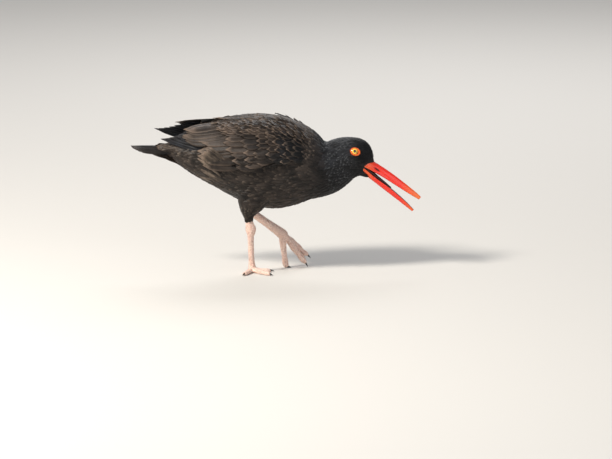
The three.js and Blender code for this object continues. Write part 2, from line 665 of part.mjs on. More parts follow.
const thighs = { right: limb(NEAR_THIGH, 0, 16, 3), left: limb(FAR_THIGH, 0, 16, 3) };
const thighRoom = limb(NEAR_THIGH, GAP, 16, 3).add(limb(FAR_THIGH, GAP, 16, 3));
for (const [word, side] of SIDES) {
  const surface = wingSurface(side);
  const feathered = Manifold.union([wingCore(surface), ...wingFeathers(surface)]);
  add(`wing_${word}`, feathered.subtract(swollen).subtract(thighRoom), "wing");
}

const legs = {
  right: { leg: limb(NEAR_LEG), thigh: thighs.right, knee: [vector(...NEAR_KNEE), UP] },
  left: { leg: limb(FAR_LEG), thigh: thighs.left, knee: [vector(...FAR_KNEE), UP] },
};
const feet = {
  right: { ...nearFoot(), root: [vector(...NEAR_FOOT_ROOT), UP] },
  left: { ...farFoot(), root: [vector(...FAR_FOOT_ROOT), vector(-1, 0, 0.75)] },
};
for (const [word] of SIDES) {
  const { leg, thigh, knee } = legs[word];
  const { foot, claws, root } = feet[word];
  add(`thigh_${word}`, parted(thigh, ...knee)[0].subtract(swollen), "body");
  add(`leg_${word}`, parted(parted(leg, ...knee)[1], ...root)[0], "leg");
  const footForm = parted(foot, ...root)[1];
  add(`foot_${word}`, footForm, "leg");
  for (const [toeName, form] of Object.entries(claws)) {
    add(`claw_${word}_${toeName}`, form.subtract(floorCut()).subtract(footForm), "claw");
  }
}

// The origin is under the middle of the bird, on the floor.
const box = new THREE.Box3().setFromObject(model);
model.position.set(-(box.min.x + box.max.x) / 2, -(box.min.y + box.max.y) / 2, -box.min.z);

export default model;
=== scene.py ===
# %% [markdown]
# # A black oystercatcher in Blender
#
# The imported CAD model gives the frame: where each part lies, in metres, with +X towards the head.
# The solids are good for weight and contact, but a bird's surface is skin, horn and feathers.
# Each step below looks at one of these on the real bird, then makes it from named sizes.

# %% Open the frame
import math

import bmesh
import bpy
import numpy as np
from mathutils import Matrix, Vector
from mathutils.bvhtree import BVHTree
from mathutils.kdtree import KDTree


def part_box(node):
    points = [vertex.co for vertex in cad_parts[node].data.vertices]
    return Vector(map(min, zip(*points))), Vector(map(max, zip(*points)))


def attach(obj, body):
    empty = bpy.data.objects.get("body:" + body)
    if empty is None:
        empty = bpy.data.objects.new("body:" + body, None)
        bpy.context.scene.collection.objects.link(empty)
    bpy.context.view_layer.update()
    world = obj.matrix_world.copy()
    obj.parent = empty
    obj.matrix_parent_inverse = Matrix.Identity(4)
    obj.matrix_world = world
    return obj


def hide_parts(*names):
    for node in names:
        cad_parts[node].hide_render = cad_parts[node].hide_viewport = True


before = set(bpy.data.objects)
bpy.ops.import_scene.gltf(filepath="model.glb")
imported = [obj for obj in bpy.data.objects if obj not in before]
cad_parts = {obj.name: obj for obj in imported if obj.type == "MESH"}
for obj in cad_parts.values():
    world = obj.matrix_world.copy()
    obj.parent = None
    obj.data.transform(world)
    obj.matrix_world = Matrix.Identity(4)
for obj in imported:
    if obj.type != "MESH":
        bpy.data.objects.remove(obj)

MM = 0.001
RIGHT, LEFT = -1, 1
SIDE_NAMES = {RIGHT: "right", LEFT: "left"}
rng = np.random.default_rng(20)
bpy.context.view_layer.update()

# %% [markdown]
# ## The camera and the studio
#
# The bird is seen square from its right side, through a long lens held a little above its back.
# A long lens keeps the two legs at nearly one scale, so the camera stands far off.
# The light is soft and comes mostly from above and behind the tail, over a pale floor.

# %% Camera
FRAME_WIDTH = 777 * MM  # what the picture spans at the bird
LENS = 400
SENSOR = 36
CAMERA_ELEVATION = math.radians(10)
AIM = Vector((38.1, 0, 52.9)) * MM

scene = bpy.context.scene
camera_data = bpy.data.cameras.new("camera")
camera_data.lens = LENS
camera_data.sensor_width = SENSOR
camera_data.clip_end = 50
camera = bpy.data.objects.new("camera", camera_data)
scene.collection.objects.link(camera)
distance = FRAME_WIDTH * LENS / SENSOR
away = Vector((0, -math.cos(CAMERA_ELEVATION), math.sin(CAMERA_ELEVATION)))
camera.location = AIM + away * distance
camera.rotation_euler = (math.pi / 2 - CAMERA_ELEVATION, 0, 0)
scene.camera = camera
scene.render.resolution_x = 612
scene.render.resolution_y = 459
print("camera", round(distance, 2), "m away")


# %% Floor and light
def flat_material(name, colour, roughness):
    material = bpy.data.materials.new(name)
    material.use_nodes = True
    shader = material.node_tree.nodes["Principled BSDF"]
    shader.inputs["Base Color"].default_value = (*colour, 1)
    shader.inputs["Roughness"].default_value = roughness
    return material


FLOOR_SIZE, FLOOR_DROP = 6, 0.2 * MM
floor_mesh = bpy.data.meshes.new("floor")
floor_form = bmesh.new()
bmesh.ops.create_grid(floor_form, x_segments=1, y_segments=1, size=FLOOR_SIZE)
floor_form.to_mesh(floor_mesh)
floor_form.free()
floor = bpy.data.objects.new("floor", floor_mesh)
floor.location = (0, 0, -FLOOR_DROP)
scene.collection.objects.link(floor)
floor_mesh.materials.append(flat_material("floor_paper", (0.62, 0.6, 0.57), 0.9))


def area_light(name, place, size, watts, colour):
    data = bpy.data.lights.new(name, "AREA")
    data.size = size
    data.energy = watts
    data.color = colour
    light = bpy.data.objects.new(name, data)
    light.location = place
    light.rotation_euler = (AIM - Vector(place)).to_track_quat("-Z", "Y").to_euler()
    scene.collection.objects.link(light)


area_light("key", (-1.5, -1.1, 1.7), 0.5, 84, (1.0, 0.95, 0.87))
area_light("fill", (1.2, -2.2, 0.9), 1.6, 12, (0.9, 0.95, 1.0))
area_light("back", (0.3, 1.8, 1.6), 1.2, 22, (1.0, 1.0, 1.0))
world = bpy.data.worlds.new("studio")
world.use_nodes = True
world.node_tree.nodes["Background"].inputs["Color"].default_value = (0.86, 0.88, 0.92, 1)
world.node_tree.nodes["Background"].inputs["Strength"].default_value = 0.4
scene.world = world
scene.view_settings.view_transform = "Standard"
print("studio ready")

# %% [markdown]
# ## The bird's form
#
# A wading bird's outline is a long egg for the body, a short neck and a round head, all in one sweep.
# It is drawn as oval sections at stations along the back line and the belly line.
# These are the sections the CAD model is lofted through, so the two agree without fitting.

# %% Sections
# Back line x and z, underside x and z, and half width, in millimetres, from the vent to the bill.
BODY = (
    (-152, 161, -150, 155, 9),
    (-135, 165, -134, 147, 14),
    (-118, 171, -114, 130, 20),
    (-95, 181, -95, 118, 28),
    (-75, 190, -74, 106.5, 36),
    (-52, 197, -50, 93, 41),
    (-28, 201, -26, 83.5, 43.5),
    (-4, 200.8, 0, 80, 44.5),
    (20, 195, 24, 84.5, 43.5),
    (38, 187, 44, 91.5, 39.5),
    (52, 177, 60, 95, 34),
    (62, 166.5, 72, 98.5, 28.5),
    (71, 169.3, 82, 103.5, 24.5),
    (83, 172.4, 91, 110.5, 21),
    (96, 172.8, 98.5, 117.8, 18.6),
    (107, 171.2, 105, 121, 16),
    (115.5, 166.5, 110.5, 121.8, 12.6),
    (120.7, 159.3, 113.6, 122.3, 10),
    (123.6, 150.2, 115.6, 122.8, 8.2),
    (126, 140.5, 117.2, 123.6, 6.6),
)
WIDEST_AT = 0.47
# Distance back from the bend of the wing, upper edge y and z, lower edge y and z, and bulge.
WING = (
    (0, 17, 178, 37, 146, 3.6),
    (26, 13, 193.5, 47, 142, 11),
    (56, 10, 201, 50, 138, 14),
    (86, 9, 200.5, 47, 136, 15),
    (116, 7, 196, 39.5, 139, 13.5),
    (146, 6, 190.5, 27, 143, 9),
    (171, 7, 184.5, 19.5, 157, 4),
    (196, 11, 179.5, 15, 168, 1),
)
WING_BEND_X = 46
RIDGE_RISE = -0.6  # past its upper edge the wing lies flat on the back
WING_CORE_LENGTH = 144
# Behind FAR_WING_FROM the far wing is raised and reaches further back, in full after FAR_WING_OVER.
FAR_WING_LIFT, FAR_WING_REACH, FAR_WING_FROM, FAR_WING_OVER = 10, 9, -60, 90


def spread(rows, station):
    """Smooth values between rows, where station is an array of row numbers."""
    table = np.array(rows, float)
    table = np.vstack([2 * table[0] - table[1], table, 2 * table[-1] - table[-2]])
    station = np.clip(np.asarray(station, float), 0, len(table) - 3)
    low = np.minimum(station.astype(int), len(table) - 4)
    f = (station - low)[..., None]
    a, b, c, d = (table[low + k] for k in range(4))
    return 0.5 * (2 * b + (c - a) * f + (2 * a - 5 * b + 4 * c - d) * f**2 + (3 * b - a - 3 * c + d) * f**3)


def body_points(station, turn, grow):
    """Points on the body at stations and turns from the back line, swollen by grow millimetres."""
    bx, bz, ux, uz, half = np.moveaxis(spread(BODY, station), -1, 0)
    length = np.hypot(bx - ux, bz - uz)
    up_x, up_z = (bx - ux) / length, (bz - uz) / length
    rise = np.where(np.cos(turn) > 0, WIDEST_AT, 1 - WIDEST_AT) * length + grow
    height = rise * np.cos(turn)
    cx, cz = bx - up_x * length * WIDEST_AT, bz - up_z * length * WIDEST_AT
    return MM * np.stack([cx + up_x * height, (half + grow) * np.sin(turn), cz + up_z * height], -1)


def wing_points(side, back, down):
    """Points on a folded wing: back in millimetres from its bend, down from 0 at its upper edge to 1."""
    rows = np.array(WING, float)
    station = np.interp(back, rows[:, 0], np.arange(len(rows)))
    uy, uz, ly, lz, bulge = np.moveaxis(spread(rows[:, 1:], station), -1, 0)
    out_y, out_z = uz - lz, ly - uy
    size = np.hypot(out_y, out_z)
    swell = bulge * 4 * down * (1 - down)
    x = WING_BEND_X - np.asarray(back, float)
    y = uy + (ly - uy) * down + out_y / size * swell
    z = uz + (lz - uz) * down + out_z / size * swell
    z = np.where(np.asarray(down) < 0, np.minimum(z, uz + RIDGE_RISE), z)
    if side == LEFT:
        past = np.maximum(0, FAR_WING_FROM - x) / FAR_WING_OVER
        x = x - FAR_WING_REACH * past
        z = z + FAR_WING_LIFT * past
    return MM * np.stack(np.broadcast_arrays(x, y * side, z), -1)


def unit(v):
    return v / np.maximum(np.linalg.norm(v, axis=-1, keepdims=True), 1e-12)


print("stations", len(BODY), "body,", len(WING), "wing")

# %% [markdown]
# ## Meshes from rings
#
# Most of the bird's bare parts are tubes: legs, toes, claws and the two halves of the bill.
# A tube starts as a flat grid, is wrapped into rings by moving its points, and is then welded and capped.


# %% Tube maker
def finish_mesh(name, form):
    mesh = bpy.data.meshes.new(name)
    form.to_mesh(mesh)
    form.free()
    mesh.shade_smooth()
    piece = bpy.data.objects.new(name, mesh)
    scene.collection.objects.link(piece)
    return piece


def tube(name, place, sides, rings):
    """A closed tube: place takes arrays of how far along (0 to 1) and of turns, and gives points."""
    form = bmesh.new()
    bmesh.ops.create_grid(form, x_segments=sides, y_segments=rings, size=1)
    flat = np.array([v.co for v in form.verts])
    points = place((flat[:, 1] + 1) / 2, (flat[:, 0] + 1) * math.pi)
    for vertex, point in zip(form.verts, points):
        vertex.co = point
    bmesh.ops.remove_doubles(form, verts=form.verts, dist=1e-6)
    bmesh.ops.holes_fill(form, edges=[e for e in form.edges if e.is_boundary], sides=0)
    bmesh.ops.recalc_face_normals(form, faces=form.faces)
    return finish_mesh(name, form)


def limb_place(stations, grow=0.0):
    """Rings round a bent axis: rows of x, y, z, half size fore and aft, half size sideways."""

    def place(along, turn):
        k = along * (len(stations) - 1)
        rows = spread(stations, k)
        tangent = unit(spread(stations, k + 0.2)[:, :3] - spread(stations, k - 0.2)[:, :3])
        fore = unit(np.cross((0, 1, 0), tangent))
        sideways = np.cross(tangent, fore)
        cos, sin = np.cos(turn)[:, None], np.sin(turn)[:, None]
        points = rows[:, :3] + fore * (rows[:, 3:4] + grow) * cos
        return MM * (points + sideways * (rows[:, 4:5] + grow) * sin)

    return place


def one_flesh(name, parts, voxel, passes):
    """Joins tubes and remeshes them into one skin, smoothed a number of times."""
    piece = parts[0]
    with bpy.context.temp_override(active_object=piece, selected_editable_objects=parts):
        bpy.ops.object.join()
    piece.name = name
    fuse = piece.modifiers.new("fuse", "REMESH")
    fuse.mode = "VOXEL"
    fuse.voxel_size = voxel
    evaluated = piece.evaluated_get(bpy.context.evaluated_depsgraph_get())
    fused = bpy.data.meshes.new_from_object(evaluated)
    piece.modifiers.clear()
    piece.data = fused
    form = bmesh.new()
    form.from_mesh(fused)
    every_axis = dict(use_axis_x=True, use_axis_y=True, use_axis_z=True)
    for _ in range(passes):
        bmesh.ops.smooth_vert(form, verts=form.verts, factor=0.5, **every_axis)
    form.to_mesh(fused)
    form.free()
    fused.shade_smooth()
    return piece


print("tube maker ready")

# %% [markdown]
# ## The skin
#
# Under the feathers a bird is one unbroken skin over muscle.
# Lofts of the body, the thighs and the wings' fleshy part are pushed together and remeshed into one surface.
# It lies inside the solids by the depth of the feather coat, so that the feathers bring it back out.

# %% Thighs and skin
NEAR_THIGH = (
    (-26, -20, 112, 26, 17),
    (-31, -20, 92, 19, 14),
    (-34, -19.5, 80, 11, 9.5),
    (-34.5, -19, 71, 5.4, 5.2),
    (-34.2, -18.4, 65, 4.2, 4.1),
)
FAR_THIGH = (
    (-26, 20, 112, 26, 17),
    (-33, 20, 95, 18, 14),
    (-37, 19.8, 86, 10, 9),
    (-38.2, 19.6, 80, 5.4, 5.2),
)
# The chin's feathered skin runs forward over the sides of the lower bill.
CHIN = (
    (105, 0, 129.5, 5, 9.4),
    (109.5, 0, 127.2, 4.6, 9.5),
    (113.5, 0, 124.6, 3.4, 8.7),
    (117.5, 0, 121.8, 1.8, 7.4),
)
COAT = 1.8  # depth of the feathers over the skin
THIGH_COAT = 0.8
WING_CORE_DEPTH = 9
SKIN_VOXEL = 1.5 * MM
SKIN_PASSES = 6
LAST = len(BODY) - 1


def wing_core(side):
    """The fleshy part of a wing, from its surface down into the body."""

    def place(along, turn):
        back = 4 + (WING_CORE_LENGTH - 10) * along
        down = 0.5 - 0.44 * np.cos(turn)
        surface = wing_points(side, back, down)
        inwards = np.zeros_like(surface)
        inwards[:, 1] = -side
        inner = (np.sin(turn) > 0)[:, None] * inwards * WING_CORE_DEPTH * MM * np.sin(turn)[:, None]
        return surface + inwards * COAT * MM + inner

    return place


parts = [
    tube("skin", lambda along, turn: body_points(along * LAST, turn, -COAT), 72, 240),
    tube("thigh_near_core", limb_place(NEAR_THIGH, -THIGH_COAT), 32, 24),
    tube("thigh_far_core", limb_place(FAR_THIGH, -THIGH_COAT), 32, 24),
    tube("chin_core", limb_place(CHIN), 32, 24),
    tube("wing_right_core", wing_core(RIGHT), 40, 60),
    tube("wing_left_core", wing_core(LEFT), 40, 60),
]
skin = one_flesh("skin", parts, SKIN_VOXEL, SKIN_PASSES)
whole = skin.data
print("skin faces", len(whole.polygons))

# %% [markdown]
# ## Which way the feathers lie
#
# Feathers grow from the bill backwards, over the nape and the back, and down the thighs.
# A cloud of points on the lofts remembers that direction, and which part each place belongs to.
# Every feather asks the nearest point, then its shaft is stepped over the skin from its root.

# %% Lie of the coat
BODY_PART, THIGH_PART, WING_PART = 0, 1, 2
# Across the coat's bake map the body takes the left part, and thighs and wings start at MAP_SIDE.
MAP_BODY, MAP_SIDE = 0.7, 0.75


def pairs(first, second):
    """Every pairing of two ranges, as two flat arrays."""
    return (grid.ravel() for grid in np.meshgrid(first, second))


def lie_cloud():
    """Points on the lofts with the lie, the part, the station, and a place on an unrolled skin."""
    rows = []

    def put(points, ahead, part, station, around, patch):
        for p, q, s, a, uv in zip(points, ahead, station, around, patch):
            rows.append((p, unit(q - p), part, s, a, uv))

    station, turn = pairs(np.arange(0, LAST + 0.01, 0.2), np.arange(0, 2 * np.pi, 0.12))
    here = body_points(station, turn, -COAT)
    behind = body_points(np.maximum(station - 0.1, -0.1), turn, -COAT)
    beyond_vent = here * 2 - body_points(station + 0.1, turn, -COAT)
    behind = np.where(station[:, None] < 0.1, beyond_vent, behind)
    patch = np.stack([0.02 + MAP_BODY * station / LAST, turn / 7], -1)
    put(here, behind, BODY_PART, station, turn, patch)
    for index, thigh in enumerate((NEAR_THIGH, FAR_THIGH)):
        place = limb_place(thigh, -THIGH_COAT)
        along, turn = pairs(np.arange(0.3, 0.99, 0.05), np.arange(0, 2 * np.pi, 0.3))
        patch = np.stack([MAP_SIDE + 0.1 * index + 0.013 * turn, along * 0.3], -1)
        put(place(along, turn), place(along + 0.01, turn), THIGH_PART, along, turn, patch)
    for index, side in enumerate((RIGHT, LEFT)):
        back, down = pairs(np.arange(2, 140, 4.0), np.arange(0.03, 0.98, 0.06))
        patch = np.stack([MAP_SIDE + 0.001 * back, 0.35 + 0.3 * index + 0.28 * down], -1)
        ahead = wing_points(side, back + 1, down)
        put(wing_points(side, back, down), ahead, WING_PART, back, down, patch)
    return rows


cloud = lie_cloud()
cloud_tree = KDTree(len(cloud))
for index, row in enumerate(cloud):
    cloud_tree.insert(Vector(row[0]), index)
cloud_tree.balance()
skin_faces = [tuple(p.vertices) for p in whole.polygons]
skin_tree = BVHTree.FromPolygons([v.co for v in whole.vertices], skin_faces)
print("lie cloud", len(cloud), "points")


# %% Feather meshes
PATCH_SIZE = 0.003  # what one feather takes up on the bake map


def store(data, field, values):
    data.foreach_set(field, values.reshape(-1).astype(np.float32))


def feather_object(name, grids, patches, colours, fringes, material):
    """One mesh from many feather grids, shaped (feathers, rows, columns, 3).

    Each feather has a colour, a fringe strength, its own vane UV and a small patch on the unrolled skin."""
    count, rows, columns, _ = grids.shape
    each = rows * columns
    i, j = (g.ravel() for g in np.meshgrid(np.arange(rows - 1), np.arange(columns - 1), indexing="ij"))
    corner = i * columns + j
    quad = np.stack([corner, corner + 1, corner + columns + 1, corner + columns], -1)
    quads = (quad[None] + np.arange(count)[:, None, None] * each).reshape(-1, 4)
    corners = quads.reshape(-1)

    mesh = bpy.data.meshes.new(name)
    mesh.vertices.add(count * each)
    store(mesh.vertices, "co", grids)
    mesh.loops.add(quads.size)
    mesh.loops.foreach_set("vertex_index", corners.astype(np.int32))
    mesh.polygons.add(len(quads))
    mesh.polygons.foreach_set("loop_start", np.arange(0, quads.size, 4, dtype=np.int32))
    mesh.update(calc_edges=True)
    mesh.shade_smooth()
    along = np.repeat(np.linspace(0, 1, rows), columns)
    across = np.tile(np.linspace(0, 1, columns), rows)
    vane_uv = np.tile(np.stack([across, along], -1), (count, 1))[corners]
    patch_uv = np.repeat(patches, each, 0)[corners] + (vane_uv - 0.5) * PATCH_SIZE
    for label, uv in (("Vane", vane_uv), ("OFBake", patch_uv)):
        store(mesh.uv_layers.new(name=label).uv, "vector", uv)
    plumage = np.concatenate([np.repeat(colours, each, 0), np.ones((count * each, 1))], 1)
    store(mesh.attributes.new("plumage", "FLOAT_COLOR", "POINT").data, "color", plumage)
    store(mesh.attributes.new("fringe", "FLOAT", "POINT").data, "value", np.repeat(fringes, each))
    mesh.materials.append(material)
    piece = bpy.data.objects.new(name, mesh)
    scene.collection.objects.link(piece)
    return piece


def feather_profile(along):
    """A feather's width from root to tip, as a share of its widest."""
    base = 0.5 + 0.5 * np.minimum(1, along * 2.5)
    return base * np.sqrt(np.maximum(0.02, 1 - (np.maximum(0, along - 0.5) / 0.52) ** 2.2))


def follow_skin(roots, lies, lengths, rows):
    """Steps each feather's shaft over the skin. Gives points and normals, shaped (feathers, rows, 3)."""
    points = np.empty((len(roots), rows, 3))
    normals = np.empty_like(points)
    for k, (root, lie, length) in enumerate(zip(roots, lies, lengths)):
        place, way = Vector(root), Vector(lie)
        for row in range(rows):
            near, normal, _, _ = skin_tree.find_nearest(place)
            points[k, row], normals[k, row] = near, normal
            way = (way - normal * way.dot(normal)).normalized()
            place = near + way * (length / (rows - 1))
    return points, normals


print("feather maker ready")

# %% [markdown]
# ## What colours the plumage
#
# The head, neck and breast are a dull black, with a painted grey sheen on the nape.
# The back and wings are browner, with pale worn tips that look like scales, and the flanks are dark.
# A feather is a shaft with fine slanting barbs on both sides, which shade it like combed thread.


# %% Node helpers
ONE_NUMBER = ("LENGTH", "DISTANCE", "DOT_PRODUCT")


class Painter:
    """Adds nodes to one shader tree. Most methods give the new node's output."""

    def __init__(self, tree):
        self.nodes, self.links = tree.nodes, tree.links

    def set(self, node, inputs):
        """Gives each named input of a node its value, or joins another node's output to it."""
        for name, value in inputs.items():
            socket = node.inputs[name]
            if isinstance(value, bpy.types.NodeSocket):
                self.links.new(value, socket)
            else:
                socket.default_value = (*value, 1) if socket.type == "RGBA" else value

    def add(self, kind, inputs, **settings):
        """A new shader node. Its settings are made first, because they can change its inputs."""
        node = self.nodes.new("ShaderNode" + kind)
        for name, value in settings.items():
            setattr(node, name, value)
        self.set(node, inputs)
        return node

    def math(self, operation, first, second=0.0, clamp=False):
        node = self.add("Math", {0: first, 1: second}, operation=operation, use_clamp=clamp)
        return node.outputs[0]

    def ramp(self, value, start, slope):
        """How far the value is past the start, times the slope, kept between 0 and 1."""
        return self.math("MULTIPLY", self.math("SUBTRACT", value, start), slope, True)

    def vector(self, operation, first, second=(0, 0, 0)):
        node = self.add("VectorMath", {0: first, 1: second}, operation=operation)
        return node.outputs["Value" if operation in ONE_NUMBER else "Vector"]

    def scaled(self, vector, factor):
        node = self.add("VectorMath", {0: vector, "Scale": factor}, operation="SCALE")
        return node.outputs["Vector"]

    def mapping(self, vector, scale, rotation=(0, 0, 0), location=(0, 0, 0), kind="POINT"):
        inputs = {"Vector": vector, "Scale": scale, "Rotation": rotation, "Location": location}
        return self.add("Mapping", inputs, vector_type=kind).outputs["Vector"]

    def split(self, vector):
        return self.add("SeparateXYZ", {"Vector": vector}).outputs

    def attribute(self, name, output):
        return self.add("Attribute", {}, attribute_name=name).outputs[output]

    def mix(self, factor, first, second):
        inputs = {"Factor": factor, "A": first, "B": second}
        return self.add("Mix", inputs, data_type="RGBA").outputs["Result"]

    def noise(self, vector, scale, detail=4.0):
        inputs = {"Vector": vector, "Scale": scale, "Detail": detail}
        return self.add("TexNoise", inputs).outputs["Fac"]

    def bump(self, height, depth, strength):
        inputs = {"Height": height, "Distance": depth, "Strength": strength}
        return self.add("Bump", inputs).outputs["Normal"]


def node_group(name, inputs, outputs, build):
    """A shader node group: inputs and outputs are (name, socket type) pairs."""
    group = bpy.data.node_groups.new(name, "ShaderNodeTree")
    for label, kind in inputs:
        group.interface.new_socket(name=label, in_out="INPUT", socket_type=kind)
    for label, kind in outputs:
        group.interface.new_socket(name=label, in_out="OUTPUT", socket_type=kind)
    build(Painter(group), group.nodes.new("NodeGroupInput"), group.nodes.new("NodeGroupOutput"))
    return group


def new_material(name):
    """A material with its painter, its shader and its Object coordinates."""
    material = bpy.data.materials.new(name)
    material.use_nodes = True
    paint = Painter(material.node_tree)
    coordinates = paint.add("TexCoord", {}).outputs["Object"]
    return material, paint, paint.nodes["Principled BSDF"], coordinates


def build_barbs(paint, entry, leave):
    """Slanting barbs and the shaft from a vane's own UV, and how near its edge and tip a place is."""
    place = paint.split(entry.outputs["Vane"])
    side = paint.math("ABSOLUTE", paint.math("SUBTRACT", place["X"], 0.5))
    slant = paint.math("SUBTRACT", place["Y"], paint.math("MULTIPLY", side, 0.5))
    count = paint.math("MULTIPLY", slant, entry.outputs["Barbs"])
    swing = paint.math("SINE", paint.math("MULTIPLY", count, 2 * math.pi))
    barbs = paint.math("ADD", paint.math("MULTIPLY", swing, 0.5), 0.5)
    shaft = paint.math("LESS_THAN", side, 0.025)
    rim = paint.math("MULTIPLY", paint.ramp(side, 0.3, 4.0), place["Y"])
    edge = paint.math("MAXIMUM", rim, paint.ramp(place["Y"], 0.78, 4.5))
    paint.set(leave, {"Barbs": barbs, "Shaft": shaft, "Edge": edge})


barb_group = node_group(
    "feather_barbs",
    (("Vane", "NodeSocketVector"), ("Barbs", "NodeSocketFloat")),
    (("Barbs", "NodeSocketFloat"), ("Shaft", "NodeSocketFloat"), ("Edge", "NodeSocketFloat")),
    build_barbs,
)


# %% Feather material
FEATHER_SHEEN, FEATHER_GLOSS = 0.03, 0.2
BARB_DEPTH = 0.12 * MM


def feather_material(name, barbs, fringe_colour, roughness):
    material, paint, shader, coordinates = new_material(name)
    uv = paint.add("UVMap", {}, uv_map="Vane").outputs["UV"]
    pattern = paint.add("Group", {"Vane": uv, "Barbs": barbs}, node_tree=barb_group)
    patchy = paint.noise(coordinates, 60)
    clumps = paint.math("MULTIPLY", paint.ramp(patchy, 0.28, 2.6), 1.1)
    shade = paint.math("ADD", paint.math("MULTIPLY", pattern.outputs["Barbs"], 0.35), clumps)
    colour = paint.scaled(paint.attribute("plumage", "Color"), shade)
    # Pale fringes are real wear on the back and wings, and painted grey sheen on the nape.
    wear_and_sheen = paint.math("MULTIPLY", pattern.outputs["Edge"], paint.attribute("fringe", "Fac"))
    wear_and_sheen = paint.math("MULTIPLY", wear_and_sheen, paint.math("ADD", patchy, 0.3), True)
    raised_shaft = paint.math("MULTIPLY", pattern.outputs["Shaft"], 2)
    height = paint.math("ADD", pattern.outputs["Barbs"], raised_shaft)
    surface = {
        "Base Color": paint.mix(wear_and_sheen, colour, fringe_colour),
        "Roughness": roughness,
        "Sheen Weight": FEATHER_SHEEN,
        "Sheen Roughness": 0.45,
        "Specular IOR Level": FEATHER_GLOSS,
        "Normal": paint.bump(height, BARB_DEPTH, 0.8),
    }
    paint.set(shader, surface)
    return material


# The head's grey fringe colour is the nape's painted sheen.
head_material = feather_material("head_feathers", 7, (0.14, 0.145, 0.15), 0.45)
down_material = feather_material("body_feathers", 9, (0.15, 0.115, 0.09), 0.45)
vane_material = feather_material("flight_feathers", 26, (0.2, 0.145, 0.11), 0.4)
skin_material = flat_material("skin_under_feathers", (0.012, 0.011, 0.01), 0.9)
whole.materials.clear()
whole.materials.append(skin_material)
print("feather materials ready")

# %% [markdown]
# ## The body feathers
#
# Contour feathers are smallest round the bill and eye, and grow longer towards the rump and flanks.
# Roots are scattered over the skin, then thinned until neighbours keep the spacing of their place.
# Each one overlaps the next like tiles, its tip a little raised.

# %% Roots on the skin
# By body station from the vent to the bill: feather length, width and spacing in millimetres.
SIZE_STATIONS = (0, 3, 6, 9, 11, 13, 14.5, 16, 17.5, 19)
LENGTHS = (26, 25, 22, 19, 15, 10, 8, 6, 4.5, 3.2)
WIDTHS = (9, 9, 8.5, 7.5, 6, 4, 3.2, 2.4, 1.9, 1.5)
SPACINGS = (4.4, 4.4, 4.2, 3.8, 3.1, 2.2, 1.8, 1.45, 1.2, 1.05)
# On the thighs and wings, feathers are spaced and sized like those at these body stations.
SPACED_LIKE, SIZED_LIKE = 7, 8
THIGH_SPACING = 3.0  # a thigh has its own spacing
CANDIDATES = 150000


def scatter(count):
    """Even random points on the skin."""
    whole.calc_loop_triangles()
    triangles = np.empty(len(whole.loop_triangles) * 3, np.int32)
    whole.loop_triangles.foreach_get("vertices", triangles)
    points = np.empty(len(whole.vertices) * 3, np.float32)
    whole.vertices.foreach_get("co", points)
    a, b, c = (points.reshape(-1, 3)[triangles.reshape(-1, 3)[:, k]] for k in range(3))
    area = np.linalg.norm(np.cross(b - a, c - a), axis=-1)
    pick = rng.choice(len(area), count, p=area / area.sum())
    u, v = rng.random((2, count, 1))
    flip = u + v > 1
    u, v = np.where(flip, 1 - u, u), np.where(flip, 1 - v, v)
    return a[pick] + (b[pick] - a[pick]) * u + (c[pick] - a[pick]) * v


def thin(points, spacing):
    """Indices of the points kept so that each has its own spacing free round it."""
    tree = KDTree(len(points))
    for index, point in enumerate(points):
        tree.insert(point, index)
    tree.balance()
    free = np.ones(len(points), bool)
    kept = []
    for index, point in enumerate(points):
        if free[index]:
            kept.append(index)
            for _, other, _ in tree.find_range(point, spacing[index]):
                free[other] = False
    return np.array(kept)


candidates = scatter(CANDIDATES)
nearest = [cloud[cloud_tree.find(Vector(p))[1]] for p in candidates]
lies, part, station, around, patches = (np.array([row[k] for row in nearest]) for k in range(1, 6))
on_body = part == BODY_PART
spacing = np.interp(np.where(on_body, station, SPACED_LIKE), SIZE_STATIONS, SPACINGS)
spacing[part == THIGH_PART] = THIGH_SPACING

# Feathers stop at the culmen's base and at a wedge of horn round the gape. Under it the chin is
# feathered. Each edge is an x in millimetres that moves forwards past its bend in height.
CULMEN_X, CULMEN_BEND, CULMEN_SLOPE, CULMEN_HEIGHTS = 114.5, 138, 1.4, (128, 146)
WEDGE_X, WEDGE_BEND, WEDGE_SLOPE, WEDGE_HEIGHTS = 109, 130, 0.2, (122.5, 138.5)
CHIN_AT, CHIN_SLOPE, CHIN_TO = (109.4, 131.4), 0.8, 118
# Round the eye the skin is bare, in an oval.
EYE_AT, BARE_OVAL = (100.3, 155.6), (6.9, 5.7)


def between(values, limits):
    return (values > limits[0]) & (values < limits[1])


def inside_bill(points):
    """Whether a root lies where the bill's horn covers the face."""
    x, _, z = np.moveaxis(points / MM, -1, 0)
    culmen = x > CULMEN_X + np.maximum(0, z - CULMEN_BEND) * CULMEN_SLOPE
    wedge = x > WEDGE_X + np.maximum(0, WEDGE_BEND - z) * WEDGE_SLOPE
    horn = (culmen & between(z, CULMEN_HEIGHTS)) | (wedge & between(z, WEDGE_HEIGHTS))
    chin = (z < CHIN_AT[1] - CHIN_SLOPE * (x - CHIN_AT[0])) & (x < CHIN_TO)
    return horn & ~chin


def near_eye(points):
    apart = (points[:, [0, 2]] / MM - EYE_AT) / BARE_OVAL
    return (apart**2).sum(-1) < 1


# Breast feathers cover the bend of the wing, and flank feathers its lower edge.
WING_FRONT, WING_LOW, FLANK_TO = 30, 0.8, 84
VENT_BARE_TO = 0.4
on_wing = part == WING_PART
wing_clad = on_wing & ((station < WING_FRONT) | ((around > WING_LOW) & (station < FLANK_TO)))
bare = inside_bill(candidates) | (on_body & (near_eye(candidates) | (station < VENT_BARE_TO)))
feathered = (~on_wing | wing_clad) & ~bare
order = np.flatnonzero(feathered)
kept = order[thin(candidates[order], spacing[order] * MM)]
print("body feathers", len(kept))

